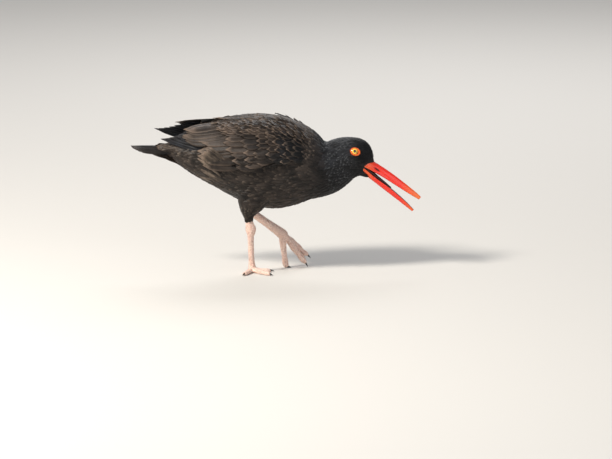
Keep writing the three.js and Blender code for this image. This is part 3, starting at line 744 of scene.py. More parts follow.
# %% Body plumage colours
HEAD_FROM = 11.5  # the station where the finer feathers of the head begin
BLACK = np.array((0.006, 0.006, 0.007))
# Painted sheen: the grey laid over the nape feathers.
NAPE_SHEEN = np.array((0.032, 0.034, 0.04))
MANTLE = np.array((0.034, 0.025, 0.02))
FLANK = np.array((0.022, 0.0165, 0.0135))
# The undertail's brown with painted light: made paler where light falls on it.
LIT_UNDERTAIL = np.array((0.06, 0.043, 0.033))
PLUME_COLOUR = np.array((0.19, 0.145, 0.11))
PLUMES_AT, PLUMES_REACH = (-70, 122), (13, 17)


def blend(first, second, share):
    """One colour changing into another, by each feather's share."""
    return first + (second - first) * np.clip(share, 0, 1)[:, None]


def body_colours(points, part, station, around):
    """Black forwards, brown on the back, dark flanks, a painted grey sheen over the nape, painted light on
    the undertail.
    """
    height = np.cos(around)
    tone = blend(FLANK, MANTLE, (height - 0.1) * 2)
    tone = blend(tone, BLACK, (station - 9.5) / 2.5)
    nape_sheen = np.exp(-(((station - 12.5) / 1.6) ** 2)) * np.clip(height + 0.2, 0, 1)
    tone = blend(tone, NAPE_SHEEN, nape_sheen * 0.8)
    # Painted light: the feathers under the tail are made a paler brown.
    tone = blend(tone, LIT_UNDERTAIL, (2.6 - station) / 1.5 * (height < 0.2))
    tone[part == THIGH_PART] = FLANK
    over_wing = blend(BLACK, MANTLE, (0.45 - around) * 4)
    over_flank = blend(over_wing, FLANK, (station - 25) / 20)
    tone[part == WING_PART] = over_flank[part == WING_PART]
    apart = (points[:, [0, 2]] / MM - PLUMES_AT) / PLUMES_REACH
    plumes = 1.2 * np.exp(-((apart**2).sum(-1))) * rng.random(len(points)) ** 2
    tone = blend(tone, PLUME_COLOUR, plumes)
    return tone * rng.uniform(0.5, 1.5, (len(points), 1))


def contour_feathers(name, chosen, rows, columns, material):
    """Feathers over the skin from the chosen roots."""
    chosen = chosen[np.argsort(station[chosen])]
    size = np.where(part[chosen] == BODY_PART, station[chosen], SIZED_LIKE)
    on_thigh, over_wing = part[chosen] == THIGH_PART, part[chosen] == WING_PART
    lengths = np.interp(size, SIZE_STATIONS, LENGTHS) * MM * rng.uniform(0.85, 1.15, len(chosen))
    lengths[on_thigh] = (17 - 9 * station[chosen][on_thigh]) * MM
    widths = np.interp(size, SIZE_STATIONS, WIDTHS) * MM * rng.uniform(0.85, 1.15, len(chosen))
    sway = rng.normal(0, 0.12, (len(chosen), 3))
    shafts, normals = follow_skin(candidates[chosen], unit(lies[chosen] + sway), lengths, rows)
    along = np.linspace(0, 1, rows)
    across = np.linspace(-1, 1, columns)
    ahead = unit(np.gradient(shafts, axis=1))
    sideways = np.cross(ahead, normals)
    half = widths[:, None] / 2 * feather_profile(along)
    rise = (0.15 + (0.6 + 0.05 * lengths / MM + 2.4 * over_wing)[:, None] * along) * MM
    droop = 0.16 * widths[:, None, None] * across**2 * (0.4 + 0.6 * along[None, :, None])
    ragged = rng.normal(0, 0.06, (len(chosen), rows, columns)) * widths[:, None, None]
    ragged = ragged * along[None, :, None]
    grids = shafts[:, :, None] + sideways[:, :, None] * (half[:, :, None] * across)[..., None]
    grids = grids + normals[:, :, None] * (rise[:, :, None] - droop)[..., None]
    grids = grids + ahead[:, :, None] * (ragged - 0.35 * half[:, :, None] * across**2)[..., None]
    colours = body_colours(candidates[chosen], part[chosen], station[chosen], around[chosen])
    on_back = (np.cos(around[chosen]) > 0.1) & (station[chosen] < 10.5)
    fringes = np.where(on_back, 0.85, np.where(station[chosen] < 9.5, 0.45, 0.2))
    # Grey fringes on the nape are painted sheen.
    nape_sheen = 0.7 * np.exp(-(((station[chosen] - 13) / 2.2) ** 2)) * (station[chosen] > HEAD_FROM)
    fringes = np.maximum(fringes * (station[chosen] < 10.5), nape_sheen) * rng.uniform(0.0, 1.4, len(chosen))
    piece = feather_object(name, grids, patches[chosen], colours, fringes, material)
    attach(piece, "root")
    print(name, len(chosen), "feathers", 2 * len(piece.data.polygons), "triangles")
    return piece


head_roots = kept[(station[kept] > HEAD_FROM) & on_body[kept]]
body_roots = kept[(station[kept] <= HEAD_FROM) | ~on_body[kept]]
head_plumage = contour_feathers("head_feathers", head_roots, 4, 4, head_material)
body_plumage = contour_feathers("body_feathers", body_roots, 6, 5, down_material)

# %% [markdown]
# ## Wings and tail
#
# A folded wing shows rows of coverts over the long flight feathers, whose tips lie above the tail.
# Each row is a tier along the wing's surface: how far back it is rooted, its count, length and width.
# Every vane follows the surface, and its lower edge lies out over its neighbour's upper edge.


# %% Flight feather maker
VANE_THICKNESS = 0.22 * MM
VANE_ROWS, VANE_COLUMNS = 11, 7
DOWN_STEP = 0.02


def downhill(surface, back, down):
    """Which way the surface runs downwards, over a small step each way."""
    return surface(back, down + DOWN_STEP) - surface(back, down - DOWN_STEP)


def lay_vanes(name, surface, feathers):
    """Vanes on surface(back, down), which gives points; each feather is a dict in millimetres."""
    along = np.linspace(0, 1, VANE_ROWS)[:, None]
    across = np.linspace(-1, 1, VANE_COLUMNS)[None, :]
    profile = feather_profile(along)
    grids = []
    for f in feathers:
        back = f["back"] + f["length"] * along
        down = f["down"] + (f["down_end"] - f["down"]) * along + 0 * across
        stretch = np.linalg.norm(downhill(surface, back, down), axis=-1) / (2 * DOWN_STEP) / MM
        half = f["width"] / 2 * profile
        back = back - np.abs(across) ** 1.6 * f["width"] * f.get("point", 0.3) * along**3
        down = down + across * half / np.maximum(stretch, 6)
        toward = surface(back + 1, down) - surface(back - 1, down)
        normal = unit(np.cross(toward, downhill(surface, back, down))) * f["face"]
        lift = f["root"] + (f["tip"] - f["root"]) * along + f["tilt"] * across + 0.4 * (1 - across**2)
        ripple = rng.normal(0, 0.05) * np.sin(along * 9 + across * 2)
        grids.append(surface(back, down) + normal * ((lift + ripple)[..., None] * MM))
    patches = np.array([f["patch"] for f in feathers])
    colours = np.array([f["colour"] for f in feathers])
    fringes = np.array([f["fringe"] for f in feathers])
    piece = feather_object(name, np.array(grids), patches, colours, fringes, vane_material)
    thickness = piece.modifiers.new("thickness", "SOLIDIFY")
    thickness.thickness = VANE_THICKNESS
    thickness.offset = 0
    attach(piece, "root")
    print(name, len(feathers), "vanes")


print("vane maker ready")

# %% Rows of the wing
WING_BROWN = np.array((0.05, 0.036, 0.028))
WING_DARK = np.array((0.012, 0.01, 0.0095))
WING_BLUE = np.array((0.011, 0.013, 0.018))
# A tier: distance back, slant, length, width, count, range down the wing, and lift of root and tip.
COVERTS = (
    dict(back=18, slant=12, length=20, width=10, count=10, down=(0.06, 0.82), root=-2.2, tip=1.0),
    dict(back=28, slant=13, length=21, width=10, count=10, down=(0.1, 0.85), root=-2.2, tip=1.2),
    dict(back=38, slant=14, length=23, width=10, count=10, down=(0.06, 0.82), root=-2.2, tip=1.4),
    dict(back=49, slant=16, length=26, width=10.5, count=10, down=(0.1, 0.86), root=-2.2, tip=1.6),
    dict(back=60, slant=18, length=30, width=11, count=10, down=(0.06, 0.88), root=-2.3, tip=1.9),
    dict(back=74, slant=20, length=36, width=11.5, count=10, down=(0.08, 0.93), root=-2.3, tip=2.2),
    dict(back=94, slant=8, length=48, width=12.5, count=7, down=(0.46, 0.94), root=-2.4, tip=1.5),
    dict(back=94, slant=10, length=66, width=13, count=6, down=(0.1, 0.5), root=-2.0, tip=2.8),
)
# The mantle's small scaly feathers and the scapulars behind them hide the upper edge of the wing.
MANTLE_ROWS = 13
MANTLE_TIERS = tuple(
    dict(
        back=2 + 7.6 * row,
        slant=-8,
        length=15 + 1.5 * row,
        width=8.5 + 0.3 * row,
        count=7,
        down=(-0.02 + 0.03 * (row % 2), 0.42 + 0.03 * (row % 2) - 0.012 * row),
        root=-1.6,
        tip=1.9 + 0.05 * row,
    )
    for row in range(MANTLE_ROWS)
)
# Long pale plumes of the flank curl up over the lower edge of the wing, in front of its tip.
PLUMES = dict(back=92, slant=-40, length=24, width=3.6, count=15, down=(0.9, 1.14), root=-1.5, tip=3.4)
# Along the upper edge the tips tuck in under the feathers of the back.
RIDGE_TUCK = -0.5
PRIMARY_COUNT = 7
PRIMARIES = dict(back=116, down=(0.2, 0.78), down_end=(0.18, 0.62), length=(42, 76), width=(13, 10))


def wing_colour(back, down):
    """Warm brown at the back, darker patches in the middle, black towards the bend of the wing."""
    patchy = math.sin(back * 0.11 + 2 + down * 5) * math.sin(down * 9 + back * 0.05)
    tone = WING_BROWN + (WING_DARK - WING_BROWN) * np.clip(0.35 - 0.5 * patchy, 0, 1)
    front = np.clip((44 - back) / 26, 0, 1) * np.clip((down - 0.25) * 5, 0, 1)
    return (tone + (BLACK - tone) * front) * rng.uniform(0.7, 1.35)


def wing_feathers(side):
    feathers = []
    for tier in COVERTS + MANTLE_TIERS + (PLUMES,):
        plume = tier is PLUMES
        for down in np.linspace(*tier["down"], tier["count"]):
            back = tier["back"] - tier["slant"] * (down - 0.5) + rng.normal(0, 1.3)
            tuck = RIDGE_TUCK + (1 - RIDGE_TUCK) * np.clip(down * 5, 0, 1)
            feathers.append(
                dict(
                    back=back,
                    length=tier["length"] * rng.uniform(0.88, 1.08),
                    width=tier["width"] * rng.uniform(0.9, 1.08),
                    down=down + rng.normal(0, 0.006),
                    down_end=down - 0.24 if plume else down + 0.03 + rng.normal(0, 0.012),
                    root=tier["root"],
                    tip=tier["tip"] * tuck + rng.normal(0, 0.15),
                    tilt=0.2 if plume else 0.8,
                    point=0.6 if plume else 0.34,
                    colour=PLUME_COLOUR * rng.uniform(0.2, 1.2) if plume else wing_colour(back, down),
                    fringe=rng.uniform(0.3, 1.3),
                    patch=(0.1 + 0.004 * back, 0.1 + 0.7 * down),
                )
            )
    for share in np.linspace(0, 1, PRIMARY_COUNT):
        start, end, length, width = (
            a + (b - a) * share for a, b in (PRIMARIES[k] for k in ("down", "down_end", "length", "width"))
        )
        feathers.append(
            dict(
                back=PRIMARIES["back"],
                length=length,
                width=width,
                down=start,
                down_end=end,
                root=-1.6 - 3.1 * share,
                tip=1.6 - 4.2 * share,
                tilt=0.5,
                point=0.5,
                colour=WING_BLUE * rng.uniform(0.9, 1.2),
                fringe=0.1,
                patch=(0.6, 0.1 + 0.8 * share),
            )
        )
    for feather in feathers:
        feather["face"] = -side
    return feathers


for side in (RIGHT, LEFT):
    name = SIDE_NAMES[side]
    lay_vanes(
        f"wing_feathers_{name}",
        lambda back, down, side=side: wing_points(side, back, down),
        wing_feathers(side),
    )


# %% Tail
TAIL_ROOT_X, TAIL_LENGTH, TAIL_Z = -112, 72, 159.2
TAIL_HALF_WIDTH = (11, 18)
TAIL_DROOP = 3.2
RECTRICES, OUTER_SHORTER, OUTER_LOWER = 12, 14, 3.6


def tail_points(back, across):
    half = TAIL_HALF_WIDTH[0] + (TAIL_HALF_WIDTH[1] - TAIL_HALF_WIDTH[0]) * np.minimum(1, back / TAIL_LENGTH)
    x, y, z = TAIL_ROOT_X - back, half * across, TAIL_Z - TAIL_DROOP * across**2
    return MM * np.stack(np.broadcast_arrays(x, y, z), -1)


TAIL_COVERTS = (
    dict(back=-18, length=34, width=11, count=6, spread=0.75, root=13, tip=5.5),
    dict(back=-2, length=34, width=11, count=6, spread=0.7, root=6, tip=2.8),
    dict(back=20, length=36, width=11, count=6, spread=0.7, root=-9, tip=-2.6),
    dict(back=8, length=42, width=11, count=7, spread=0.75, root=-17, tip=-4.2),
    dict(back=-4, length=42, width=12, count=7, spread=0.8, root=-27, tip=-7.5),
    dict(back=-20, length=42, width=13, count=6, spread=0.8, root=-39, tip=-17),
)
tail_feathers = []
for across in np.linspace(-1, 1, RECTRICES):
    out = abs(across)
    tail_feathers.append(
        dict(
            back=6,
            length=TAIL_LENGTH - 6 - OUTER_SHORTER * out**2,
            width=11,
            down=across * 0.8,
            down_end=across * 0.86,
            root=1.2 - OUTER_LOWER * out,
            tip=1.4 - OUTER_LOWER * out,
            tilt=-0.5 * np.sign(across),
            point=0.2,
            colour=WING_DARK * rng.uniform(0.9, 1.2),
            fringe=0.12,
            face=-1,
            patch=(0.9, 0.5 + 0.4 * across),
        )
    )
# Under coverts take the undertail's brown with painted light; upper coverts take the wing's brown.
for tier in TAIL_COVERTS:
    under = tier["root"] < 0
    for index, across in enumerate(np.linspace(-tier["spread"], tier["spread"], tier["count"])):
        tail_feathers.append(
            dict(
                back=tier["back"] + rng.normal(0, 1),
                length=tier["length"],
                width=tier["width"],
                down=across,
                down_end=across * 0.9,
                root=tier["root"] + 0.3 * (index % 2),
                tip=tier["tip"] + 0.3 * (index % 2),
                tilt=(0.6 if under else -0.6) * np.sign(across),
                colour=(LIT_UNDERTAIL if under else WING_BROWN) * rng.uniform(0.8, 1.3),
                fringe=0.5,
                face=-1,
                patch=(0.8 + 0.0005 * tier["back"], 0.5 + 0.4 * across),
            )
        )
lay_vanes("tail_feathers", tail_points, tail_feathers)

# %% [markdown]
# ## The bill
#
# The bill is a long blade of horn, deep at the base and pressed thin from side to side like an oyster knife.
# Each half is a loft with a rounded back and a nearly flat inner face, and a sharp edge between them.
# A slit nostril lies in a shallow groove near the base; the slit, the inside of the mouth and the inner faces
# of the bill are painted dark as shade.

# %% Bill forms
UPPER_BILL = (
    (114.3, 146, 108.6, 136.2, 9.4),
    (120, 143.2, 113, 134.6, 9.3),
    (126.2, 139.3, 117.6, 132.2, 8.2),
    (133.4, 134.7, 126, 127.3, 6.4),
    (144.8, 126.9, 138.4, 119.8, 4.9),
    (157.5, 117.3, 151.4, 111.2, 4.0),
    (170.2, 107.1, 165, 102.3, 3.4),
    (178.4, 100.2, 174.6, 96.2, 2.6),
    (184, 94.8, 181.6, 91.9, 1.5),
)
LOWER_BILL = (
    (109.4, 134.2, 106.7, 126, 9.2),
    (113.6, 131.2, 110.8, 123.2, 8.8),
    (118.9, 126.6, 115.6, 120.9, 7.6),
    (127, 119.6, 124, 114.6, 6.0),
    (143.9, 107.0, 140.6, 101.6, 4.6),
    (156.8, 95.9, 154, 91.2, 3.8),
    (166.4, 87.1, 164, 83.3, 3.0),
    (174.6, 78.6, 172.8, 76.4, 1.4),
)
NOSTRIL_AT, NOSTRIL_SLOPE = (128.4, 130.8), math.radians(-38)
NOSTRIL_LONG, NOSTRIL_HIGH, NOSTRIL_DEEP = 5.2, 1.0, 1.6
GROOVE_LONG, GROOVE_HIGH, GROOVE_DEEP = 15, 2.2, 0.5
TIP_FROM, BASE_TO = 158, 126
STREAK_DEPTH = 0.12 * MM
# Painted shade for the inside of the mouth, the inner faces of the bill and the nostril slit.
MOUTH_SHADE = (0.035, 0.008, 0.006)


def bill_place(stations, lower):
    def place(along, turn):
        tx, tz, bx, bz, half = np.moveaxis(spread(stations, along * (len(stations) - 1)), -1, 0)
        ix, iz, ox, oz = (tx, tz, bx, bz) if lower else (bx, bz, tx, tz)
        cos, sin = np.cos(turn), np.sin(turn)
        rise = np.where(cos > 0, cos, 0.1 * cos)
        x, y, z = ix + (ox - ix) * rise, half * np.sign(sin) * np.abs(sin) ** 0.9, iz + (oz - iz) * rise
        if not lower:
            ax, az = x - NOSTRIL_AT[0], z - NOSTRIL_AT[1]
            long = ax * math.cos(NOSTRIL_SLOPE) + az * math.sin(NOSTRIL_SLOPE)
            high = az * math.cos(NOSTRIL_SLOPE) - ax * math.sin(NOSTRIL_SLOPE)
            slit = np.clip(1 - (long / NOSTRIL_LONG) ** 2 - (high / NOSTRIL_HIGH) ** 2, 0, 1)
            groove = np.clip(1 - ((long - 6) / GROOVE_LONG) ** 2 - (high / GROOVE_HIGH) ** 2, 0, 1)
            y = y - np.sign(y) * (NOSTRIL_DEEP * np.sqrt(slit) + GROOVE_DEEP * groove)
        return MM * np.stack([x, y, z], -1)

    return place


def horn_material(name, inwards):
    """Red horn, orange at base and tip, streaked along its length, with painted shade on the face turned
    inwards and in the nostril slit.
    """
    material, paint, shader, coordinates = new_material(name)
    ahead = paint.split(coordinates)["X"]
    lengthwise = paint.mapping(coordinates, (0.12, 1, 1), (0, NOSTRIL_SLOPE, 0))
    streak = paint.noise(lengthwise, 900, 6)
    specks = paint.noise(coordinates, 500, 5)
    tip = paint.math("MULTIPLY", paint.ramp(ahead, TIP_FROM * MM, 45), 0.75)
    base = paint.math("MULTIPLY", paint.ramp(BASE_TO * MM, ahead, 110), 0.7)
    red = paint.mix(streak, (0.66, 0.012, 0.004), (0.84, 0.03, 0.008))
    red = paint.mix(tip, red, (0.85, 0.2, 0.03))
    red = paint.mix(base, red, (0.86, 0.12, 0.015))
    worn = paint.math("MULTIPLY", paint.ramp(specks, 0.66, 8), 0.6)
    colour = paint.mix(worn, red, (0.16, 0.03, 0.02))
    # The nostril slit is painted dark, as painted shade in the recess.
    slit_centre = (NOSTRIL_AT[0] * MM, 0, NOSTRIL_AT[1] * MM)
    slit_size = (NOSTRIL_LONG * MM, 1, NOSTRIL_HIGH * MM)
    round_slit = paint.mapping(coordinates, slit_size, (0, -NOSTRIL_SLOPE, 0), slit_centre, "TEXTURE")
    slit = paint.ramp(1.0, paint.vector("LENGTH", round_slit), 3)
    colour = paint.mix(slit, colour, MOUTH_SHADE)
    # Faces turned towards the other half of the bill get painted shade.
    normal = paint.add("NewGeometry", {}).outputs["Normal"]
    inner = paint.ramp(paint.vector("DOT_PRODUCT", normal, inwards), 0.6, 5)
    height = paint.math("ADD", streak, paint.math("MULTIPLY", specks, 0.6))
    surface = {
        "Base Color": paint.mix(inner, colour, MOUTH_SHADE),
        "Roughness": 0.34,
        "Coat Weight": 0.25,
        "Subsurface Weight": 0.08,
        "Subsurface Radius": (0.004, 0.001, 0.0006),
        "Normal": paint.bump(height, STREAK_DEPTH, 0.6),
    }
    paint.set(shader, surface)
    return material


for name, stations, lower in (("bill_upper_horn", UPPER_BILL, False), ("bill_lower_horn", LOWER_BILL, True)):
    half_bill = tube(name, bill_place(stations, lower), 80, 170)
    half_bill.data.materials.append(horn_material(name, (0.6, 0, 0.8) if lower else (-0.6, 0, -0.8)))
    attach(half_bill, "root")
    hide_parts("bill_lower" if lower else "bill_upper")
    print(name, len(half_bill.data.polygons), "faces")

# The tongue and the lining at the gape close the wedge between the two halves; both are painted dark as the
# shade inside the mouth.
TONGUE = (
    (109, 0, 134, 4.4, 6.6),
    (118, 0, 128.8, 3.0, 5.2),
    (128, 0, 120.8, 2.0, 3.4),
    (138, 0, 113.1, 1.4, 2.2),
    (146, 0, 106.9, 0.5, 0.8),
)
tongue = tube("tongue", limb_place(TONGUE), 32, 60)
tongue.data.materials.append(flat_material("mouth_painted_shade", MOUTH_SHADE, 0.4))
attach(tongue, "root")

# %% [markdown]
# ## Eyes and their rings
#
# The iris is clear yellow round a small black pupil, with a dark red spot of painted shade at its lower front
# edge.
# A fleshy orange-red ring frames it, a little longer than high and tipped down towards the bill.

# %% Eyes
GAZE_ELEVATION, GAZE_AHEAD = 0.28, 0.19
EYEBALL, PUPIL, IRIS = 6.35, 1.75, 4.4
# Where and how big the spot of painted shade at the iris's lower front edge is.
SHADE_SPOT_OUT, SHADE_SPOT_AHEAD, SHADE_SPOT_DOWN, SHADE_SPOT_SIZE = 5.9, 2.5, 1.9, 0.95
UPRIGHT = Vector((0, 0, 1))
FOLD_DEPTH = 0.15 * MM
RING_LONG, RING_HIGH, RING_THICK, RING_TILT = 6.5, 5.2, 1.15, -0.35


def eye_material(name, centre, gaze):
    """The iris is painted by the distance from the line of sight, streaked outwards like spokes."""
    material, paint, shader, coordinates = new_material(name)
    offset = paint.vector("SUBTRACT", coordinates, centre)
    outwards = paint.vector("CROSS_PRODUCT", offset, gaze)
    reach = paint.math("DIVIDE", paint.vector("LENGTH", outwards), MM)
    yellow = paint.mix(paint.noise(outwards, 900, 3), (0.85, 0.42, 0.02), (0.95, 0.72, 0.12))
    iris = paint.mix(paint.ramp(reach, IRIS - 0.5, 2.2), yellow, (0.12, 0.02, 0.01))
    pupil = paint.mix(paint.ramp(PUPIL + 0.12, reach, 6), iris, (0.002, 0.002, 0.002))
    front = gaze.cross(UPRIGHT).normalized()
    front = front if front.x > 0 else -front
    # Painted shade at the lower front of the iris.
    low_front = gaze * SHADE_SPOT_OUT + front * SHADE_SPOT_AHEAD - UPRIGHT * SHADE_SPOT_DOWN
    from_shade_spot = paint.math("DIVIDE", paint.vector("DISTANCE", offset, low_front * MM), MM)
    colour = paint.mix(paint.ramp(SHADE_SPOT_SIZE, from_shade_spot, 3), pupil, (0.07, 0.006, 0.004))
    paint.set(shader, {"Base Color": colour, "Roughness": 0.18, "Coat Weight": 1.0, "Coat Roughness": 0.02})
    return material


def ring_material():
    material, paint, shader, coordinates = new_material("eye_ring_skin")
    folds = paint.noise(coordinates, 1400, 4)
    colour = paint.mix(folds, (0.55, 0.035, 0.004), (0.85, 0.19, 0.01))
    paint.set(shader, {"Base Color": colour, "Roughness": 0.42, "Normal": paint.bump(folds, FOLD_DEPTH, 0.8)})
    return material


def ring_place(middle, gaze):
    """A lumpy oval ring round the line of sight, tipped down towards the bill."""
    ahead = unit(np.array((1, 0, 0)) - gaze * gaze[0])
    up = np.cross(gaze, ahead)
    up = up * np.sign(up[2])
    long_axis = ahead * math.cos(RING_TILT) + up * math.sin(RING_TILT)
    high_axis = up * math.cos(RING_TILT) - ahead * math.sin(RING_TILT)

    def place(along, turn):
        round_eye = along * 2 * np.pi
        thick = RING_THICK * (1 + 0.1 * np.sin(round_eye * 11 + 1) + 0.12 * np.sin(round_eye * 2))
        out = (np.cos(turn) * thick)[:, None]
        long = (RING_LONG - RING_THICK + out) * np.cos(round_eye)[:, None] * long_axis
        tall = (RING_HIGH - RING_THICK + out) * np.sin(round_eye)[:, None] * high_axis
        return middle + MM * (long + tall + (np.sin(turn) * thick * 0.9)[:, None] * gaze)

    return place


def middle_of(box):
    low, high = (Vector(corner) for corner in box)
    return (low + high) / 2


ring_skin = ring_material()
for side in (RIGHT, LEFT):
    name = SIDE_NAMES[side]
    centre = middle_of(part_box(f"eye_{name}"))
    gaze = Vector((GAZE_AHEAD, side * math.sqrt(1 - GAZE_AHEAD**2 - GAZE_ELEVATION**2), GAZE_ELEVATION))
    form = bmesh.new()
    bmesh.ops.create_uvsphere(form, u_segments=64, v_segments=48, radius=EYEBALL * MM)
    turned = gaze.to_track_quat("Z", "Y").to_matrix().to_4x4()
    bmesh.ops.transform(form, matrix=Matrix.Translation(centre) @ turned, verts=form.verts)
    eye = finish_mesh(f"eyeball_{name}", form)
    eye.data.materials.append(eye_material(f"eye_{name}", centre, gaze))
    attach(eye, "root")
    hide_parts(f"eye_{name}")
    middle = np.array(middle_of(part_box(f"eyelids_{name}")))
    ring = tube(f"eye_ring_{name}", ring_place(middle, np.array(gaze)), 20, 140)
    ring.data.materials.append(ring_skin)
    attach(ring, "root")
    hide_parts(f"eyelids_{name}")
print("eyes ready")

# %% [markdown]
# ## Legs and feet
#
# The legs are pale flesh-pink, covered in small scales like a net, with a swollen ankle.
# The three broad fleshy toes point forward, ringed on top by short scutes, and there is no hind toe.
# Leg, toes and the little webs are tubes remeshed into one skin, flat where they press the floor.

# %% Leg forms
NEAR_LEG = (
    (-34.4, -18.6, 69, 3.9, 3.6),
    (-33.2, -18, 62.5, 5.4, 4.5),
    (-32, -17.4, 57, 6.7, 5.0),
    (-31.8, -16.9, 52, 5.8, 4.6),
    (-32, -16, 46, 4.1, 3.5),
    (-31.6, -13.6, 30, 3.8, 3.3),
    (-30.9, -11.4, 14, 3.8, 3.5),
    (-30.1, -10.6, 5, 5.0, 4.9),
    (-29.8, -10.9, 1, 4.6, 4.6),
)
# The stepping leg and its toes are up to 1 mm fuller here than in their solids.
FAR_LEG = (
    (-38.2, 19.6, 84, 4.2, 4.0),
    (-37.9, 19.5, 78, 5.9, 4.8),
    (-34.4, 19.6, 74.4, 5.9, 4.8),
    (-29, 19.9, 70.4, 5.2, 4.4),
    (-14, 20.8, 59.4, 5.2, 4.3),
    (2, 21.7, 47.8, 6.2, 5.2),
    (7.4, 21.9, 43.6, 6.8, 5.7),
    (11.5, 22.2, 40.2, 5.6, 5.4),
)
HEEL, TOE_HEIGHT = (-30.5, -10), 1.8
# Each near toe: its turn in degrees, length, half width and number of pads.
NEAR_TOES = {"inner": (-2, 24, 3.8, 2), "middle": (-48, 35, 4.2, 3), "outer": (-110, 29, 3.6, 4)}
FAR_KNUCKLE = (7.4, 21.9, 43.6)
# Each far toe: its path, half width and number of pads.
FAR_TOES = {
    "inner": (((8.4, 21.6, 34), (10.2, 21.7, 18), (12, 21.9, 5), (15.2, 21.9, 1.4)), 4.9, 2),
    "middle": (((14, 23, 37), (22.5, 24.8, 25), (31, 26.4, 13.5), (37.8, 27.6, 4.6)), 5.1, 3),
    "outer": (((14, 26, 38), (24, 30, 29.5), (33, 33, 19.5), (40.5, 35.2, 13.4)), 4.4, 4),
}
SCUTES_A_TOE, TOE_FLATNESS = 17, 0.86
FOOT_VOXEL = 0.45 * MM
FOOT_PASSES = 2
SCALE_DEPTH = 0.12 * MM


def toe_place(points, half, pads):
    rows = [(*p, 0, 0) for p in points]

    def place(along, turn):
        k = along * (len(rows) - 1)
        middle = spread(rows, k)[:, :3]
        tangent = unit(spread(rows, k + 0.1)[:, :3] - spread(rows, k - 0.1)[:, :3])
        sideways = np.cross((0, 0, 1), tangent)
        steep = np.linalg.norm(sideways, axis=-1) < 0.3
        sideways[steep] = (0, 1, 0)
        sideways = unit(sideways)
        up = np.cross(tangent, sideways)
        swell = 1 - 0.22 * along + 0.09 * np.cos((along * pads + 0.5) * 2 * np.pi)
        ridge = 1 + 0.05 * np.abs(np.sin(along * SCUTES_A_TOE * np.pi)) * (np.cos(turn) > -0.2)
        end = np.sqrt(np.maximum(0.12, 1 - (np.maximum(0, along - 0.86) / 0.16) ** 2))
        size = (half * swell * end * ridge)[:, None]
        points = middle + sideways * size * np.sin(turn)[:, None]
        points = points + up * size * TOE_FLATNESS * np.cos(turn)[:, None]
        points[:, 2] = np.maximum(points[:, 2], 0)
        return MM * points

    return place


def heading(degrees):
    """A level direction, turned from straight ahead."""
    return np.array((math.cos(math.radians(degrees)), math.sin(math.radians(degrees))))


def near_toe_points(turn, length):
    way = heading(turn)
    heights = (TOE_HEIGHT + 1.2, TOE_HEIGHT + 0.4, TOE_HEIGHT, TOE_HEIGHT)
    return [(*(np.array(HEEL) + way * length * k / 3), heights[k]) for k in range(4)]


def web_place(root, first, second):
    """A low saddle of skin from the root out between two toes."""
    root, first, second = (np.array(p) for p in (root, first, second))
    middle = (first + second) / 2
    width = np.linalg.norm(first - second) / 2
    out = [root + (middle - root) * k / 3 for k in range(4)]
    return limb_place([(*p, 1.2 - 0.2 * k, 1.5 + (width - 2) * k / 3) for k, p in enumerate(out)])


def leg_skin_material():
    """Pale flesh scales with darker lines between them, stained brown in patches."""
    material, paint, shader, coordinates = new_material("leg_scales")
    shortened = paint.mapping(coordinates, (1, 1, 0.75))
    cells = paint.add("TexVoronoi", {"Vector": shortened, "Scale": 620}, feature="DISTANCE_TO_EDGE")
    plates = paint.math("MULTIPLY", cells.outputs["Distance"], 6, True)
    stains = paint.noise(coordinates, 130, 5)
    pale = paint.mix(stains, (0.78, 0.52, 0.42), (0.9, 0.75, 0.65))
    scaled = paint.mix(plates, (0.5, 0.29, 0.23), pale)
    dirt = paint.math("MULTIPLY", paint.ramp(stains, 0.56, 4), 0.45)
    surface = {
        "Base Color": paint.mix(dirt, scaled, (0.2, 0.085, 0.06)),
        "Roughness": 0.5,
        "Subsurface Weight": 0.12,
        "Subsurface Radius": (0.003, 0.0012, 0.0008),
        "Normal": paint.bump(plates, SCALE_DEPTH, 0.8),
    }
    paint.set(shader, surface)
    return material


leg_skin = leg_skin_material()
near_points = {toe: near_toe_points(turn, length) for toe, (turn, length, _, _) in NEAR_TOES.items()}
near_parts = [tube("leg_right_skin", limb_place(NEAR_LEG), 28, 90)]
for toe, (_, _, half, pads) in NEAR_TOES.items():
    near_parts.append(tube(f"toe_{toe}", toe_place(near_points[toe], half, pads), 20, 90))
near_root = (*HEEL, 1.6)
near_web = web_place(near_root, near_points["middle"][1], near_points["outer"][1])
near_parts.append(tube("web_out", near_web, 16, 10))
far_parts = [tube("leg_left_skin", limb_place(FAR_LEG), 28, 90)]
for toe, (points, half, pads) in FAR_TOES.items():
    far_parts.append(tube(f"toe_{toe}", toe_place((FAR_KNUCKLE, *points), half, pads), 20, 90))
far_web = web_place(FAR_KNUCKLE, FAR_TOES["middle"][0][1], FAR_TOES["outer"][0][1])
far_parts.append(tube("web_out", far_web, 16, 10))
for name, leg_parts in (("right", near_parts), ("left", far_parts)):
    leg = one_flesh(f"leg_{name}_skin", leg_parts, FOOT_VOXEL, FOOT_PASSES)
    leg.data.materials.clear()
    leg.data.materials.append(leg_skin)
    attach(leg, "root")
    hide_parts(f"leg_{name}", f"foot_{name}")
    print(leg.name, len(leg.data.polygons), "faces")

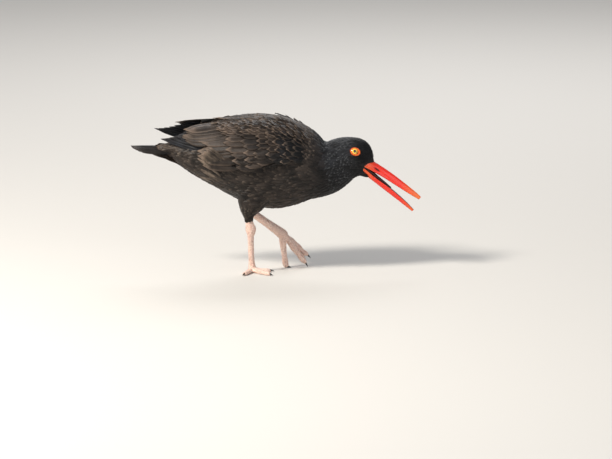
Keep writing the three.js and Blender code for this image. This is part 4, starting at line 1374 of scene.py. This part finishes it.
# %% Claws
CLAW_HALF, CLAW_HOOK = 1.5, 0.9
NEAR_CLAW, FAR_CLAW = 6.2, 6.6
NEAR_SUNK, FAR_SUNK = 1.6, 1.2  # how far a claw starts inside its toe
NEAR_CLAW_HEIGHT, NEAR_CLAW_DIP = 2.5, -0.08
# The inner far toe comes down to the floor, so its claw points ahead along it.
FLOOR_CLAW_WAY = np.array((0.9, 0.02, -0.2))


def claw_place(start, way, length):
    tangent = unit(np.array(way, float))
    sideways = unit(np.cross((0, 0, 1), tangent))
    up = np.cross(tangent, sideways)

    def place(along, turn):
        along = along[:, None]
        taper = CLAW_HALF * (1 - 0.85 * along)
        drop = -CLAW_HOOK * along**2 + taper * np.cos(turn)[:, None]
        points = start + tangent * length * along + up * drop
        points = points + sideways * taper * 0.85 * np.sin(turn)[:, None]
        points[:, 2] = np.maximum(points[:, 2], 0)
        return MM * points

    return place


claw_horn = flat_material("claw_horn", (0.012, 0.01, 0.009), 0.32)
claws = {}
for toe, (turn, *_) in NEAR_TOES.items():
    way = np.array((*heading(turn), NEAR_CLAW_DIP))
    start = np.array(near_points[toe][3]) - way * NEAR_SUNK
    start[2] = NEAR_CLAW_HEIGHT
    claws[f"claw_right_{toe}"] = claw_place(start, way, NEAR_CLAW)
for toe, (points, _, _) in FAR_TOES.items():
    before, end = np.array(points[-2], float), np.array(points[-1], float)
    way = unit(FLOOR_CLAW_WAY if toe == "inner" else end - before)
    claws[f"claw_left_{toe}"] = claw_place(end - way * FAR_SUNK, way, FAR_CLAW)
for node, place in claws.items():
    claw = tube(f"{node}_horn", place, 20, 24)
    claw.data.materials.append(claw_horn)
    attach(claw, "root")
    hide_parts(node)
print("claws", len(claws))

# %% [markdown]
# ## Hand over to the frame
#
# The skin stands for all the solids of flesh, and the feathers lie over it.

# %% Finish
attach(skin, "root")
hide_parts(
    "torso", "neck", "head", "tail", "wing_right", "wing_left", "thigh_right", "thigh_left"
)
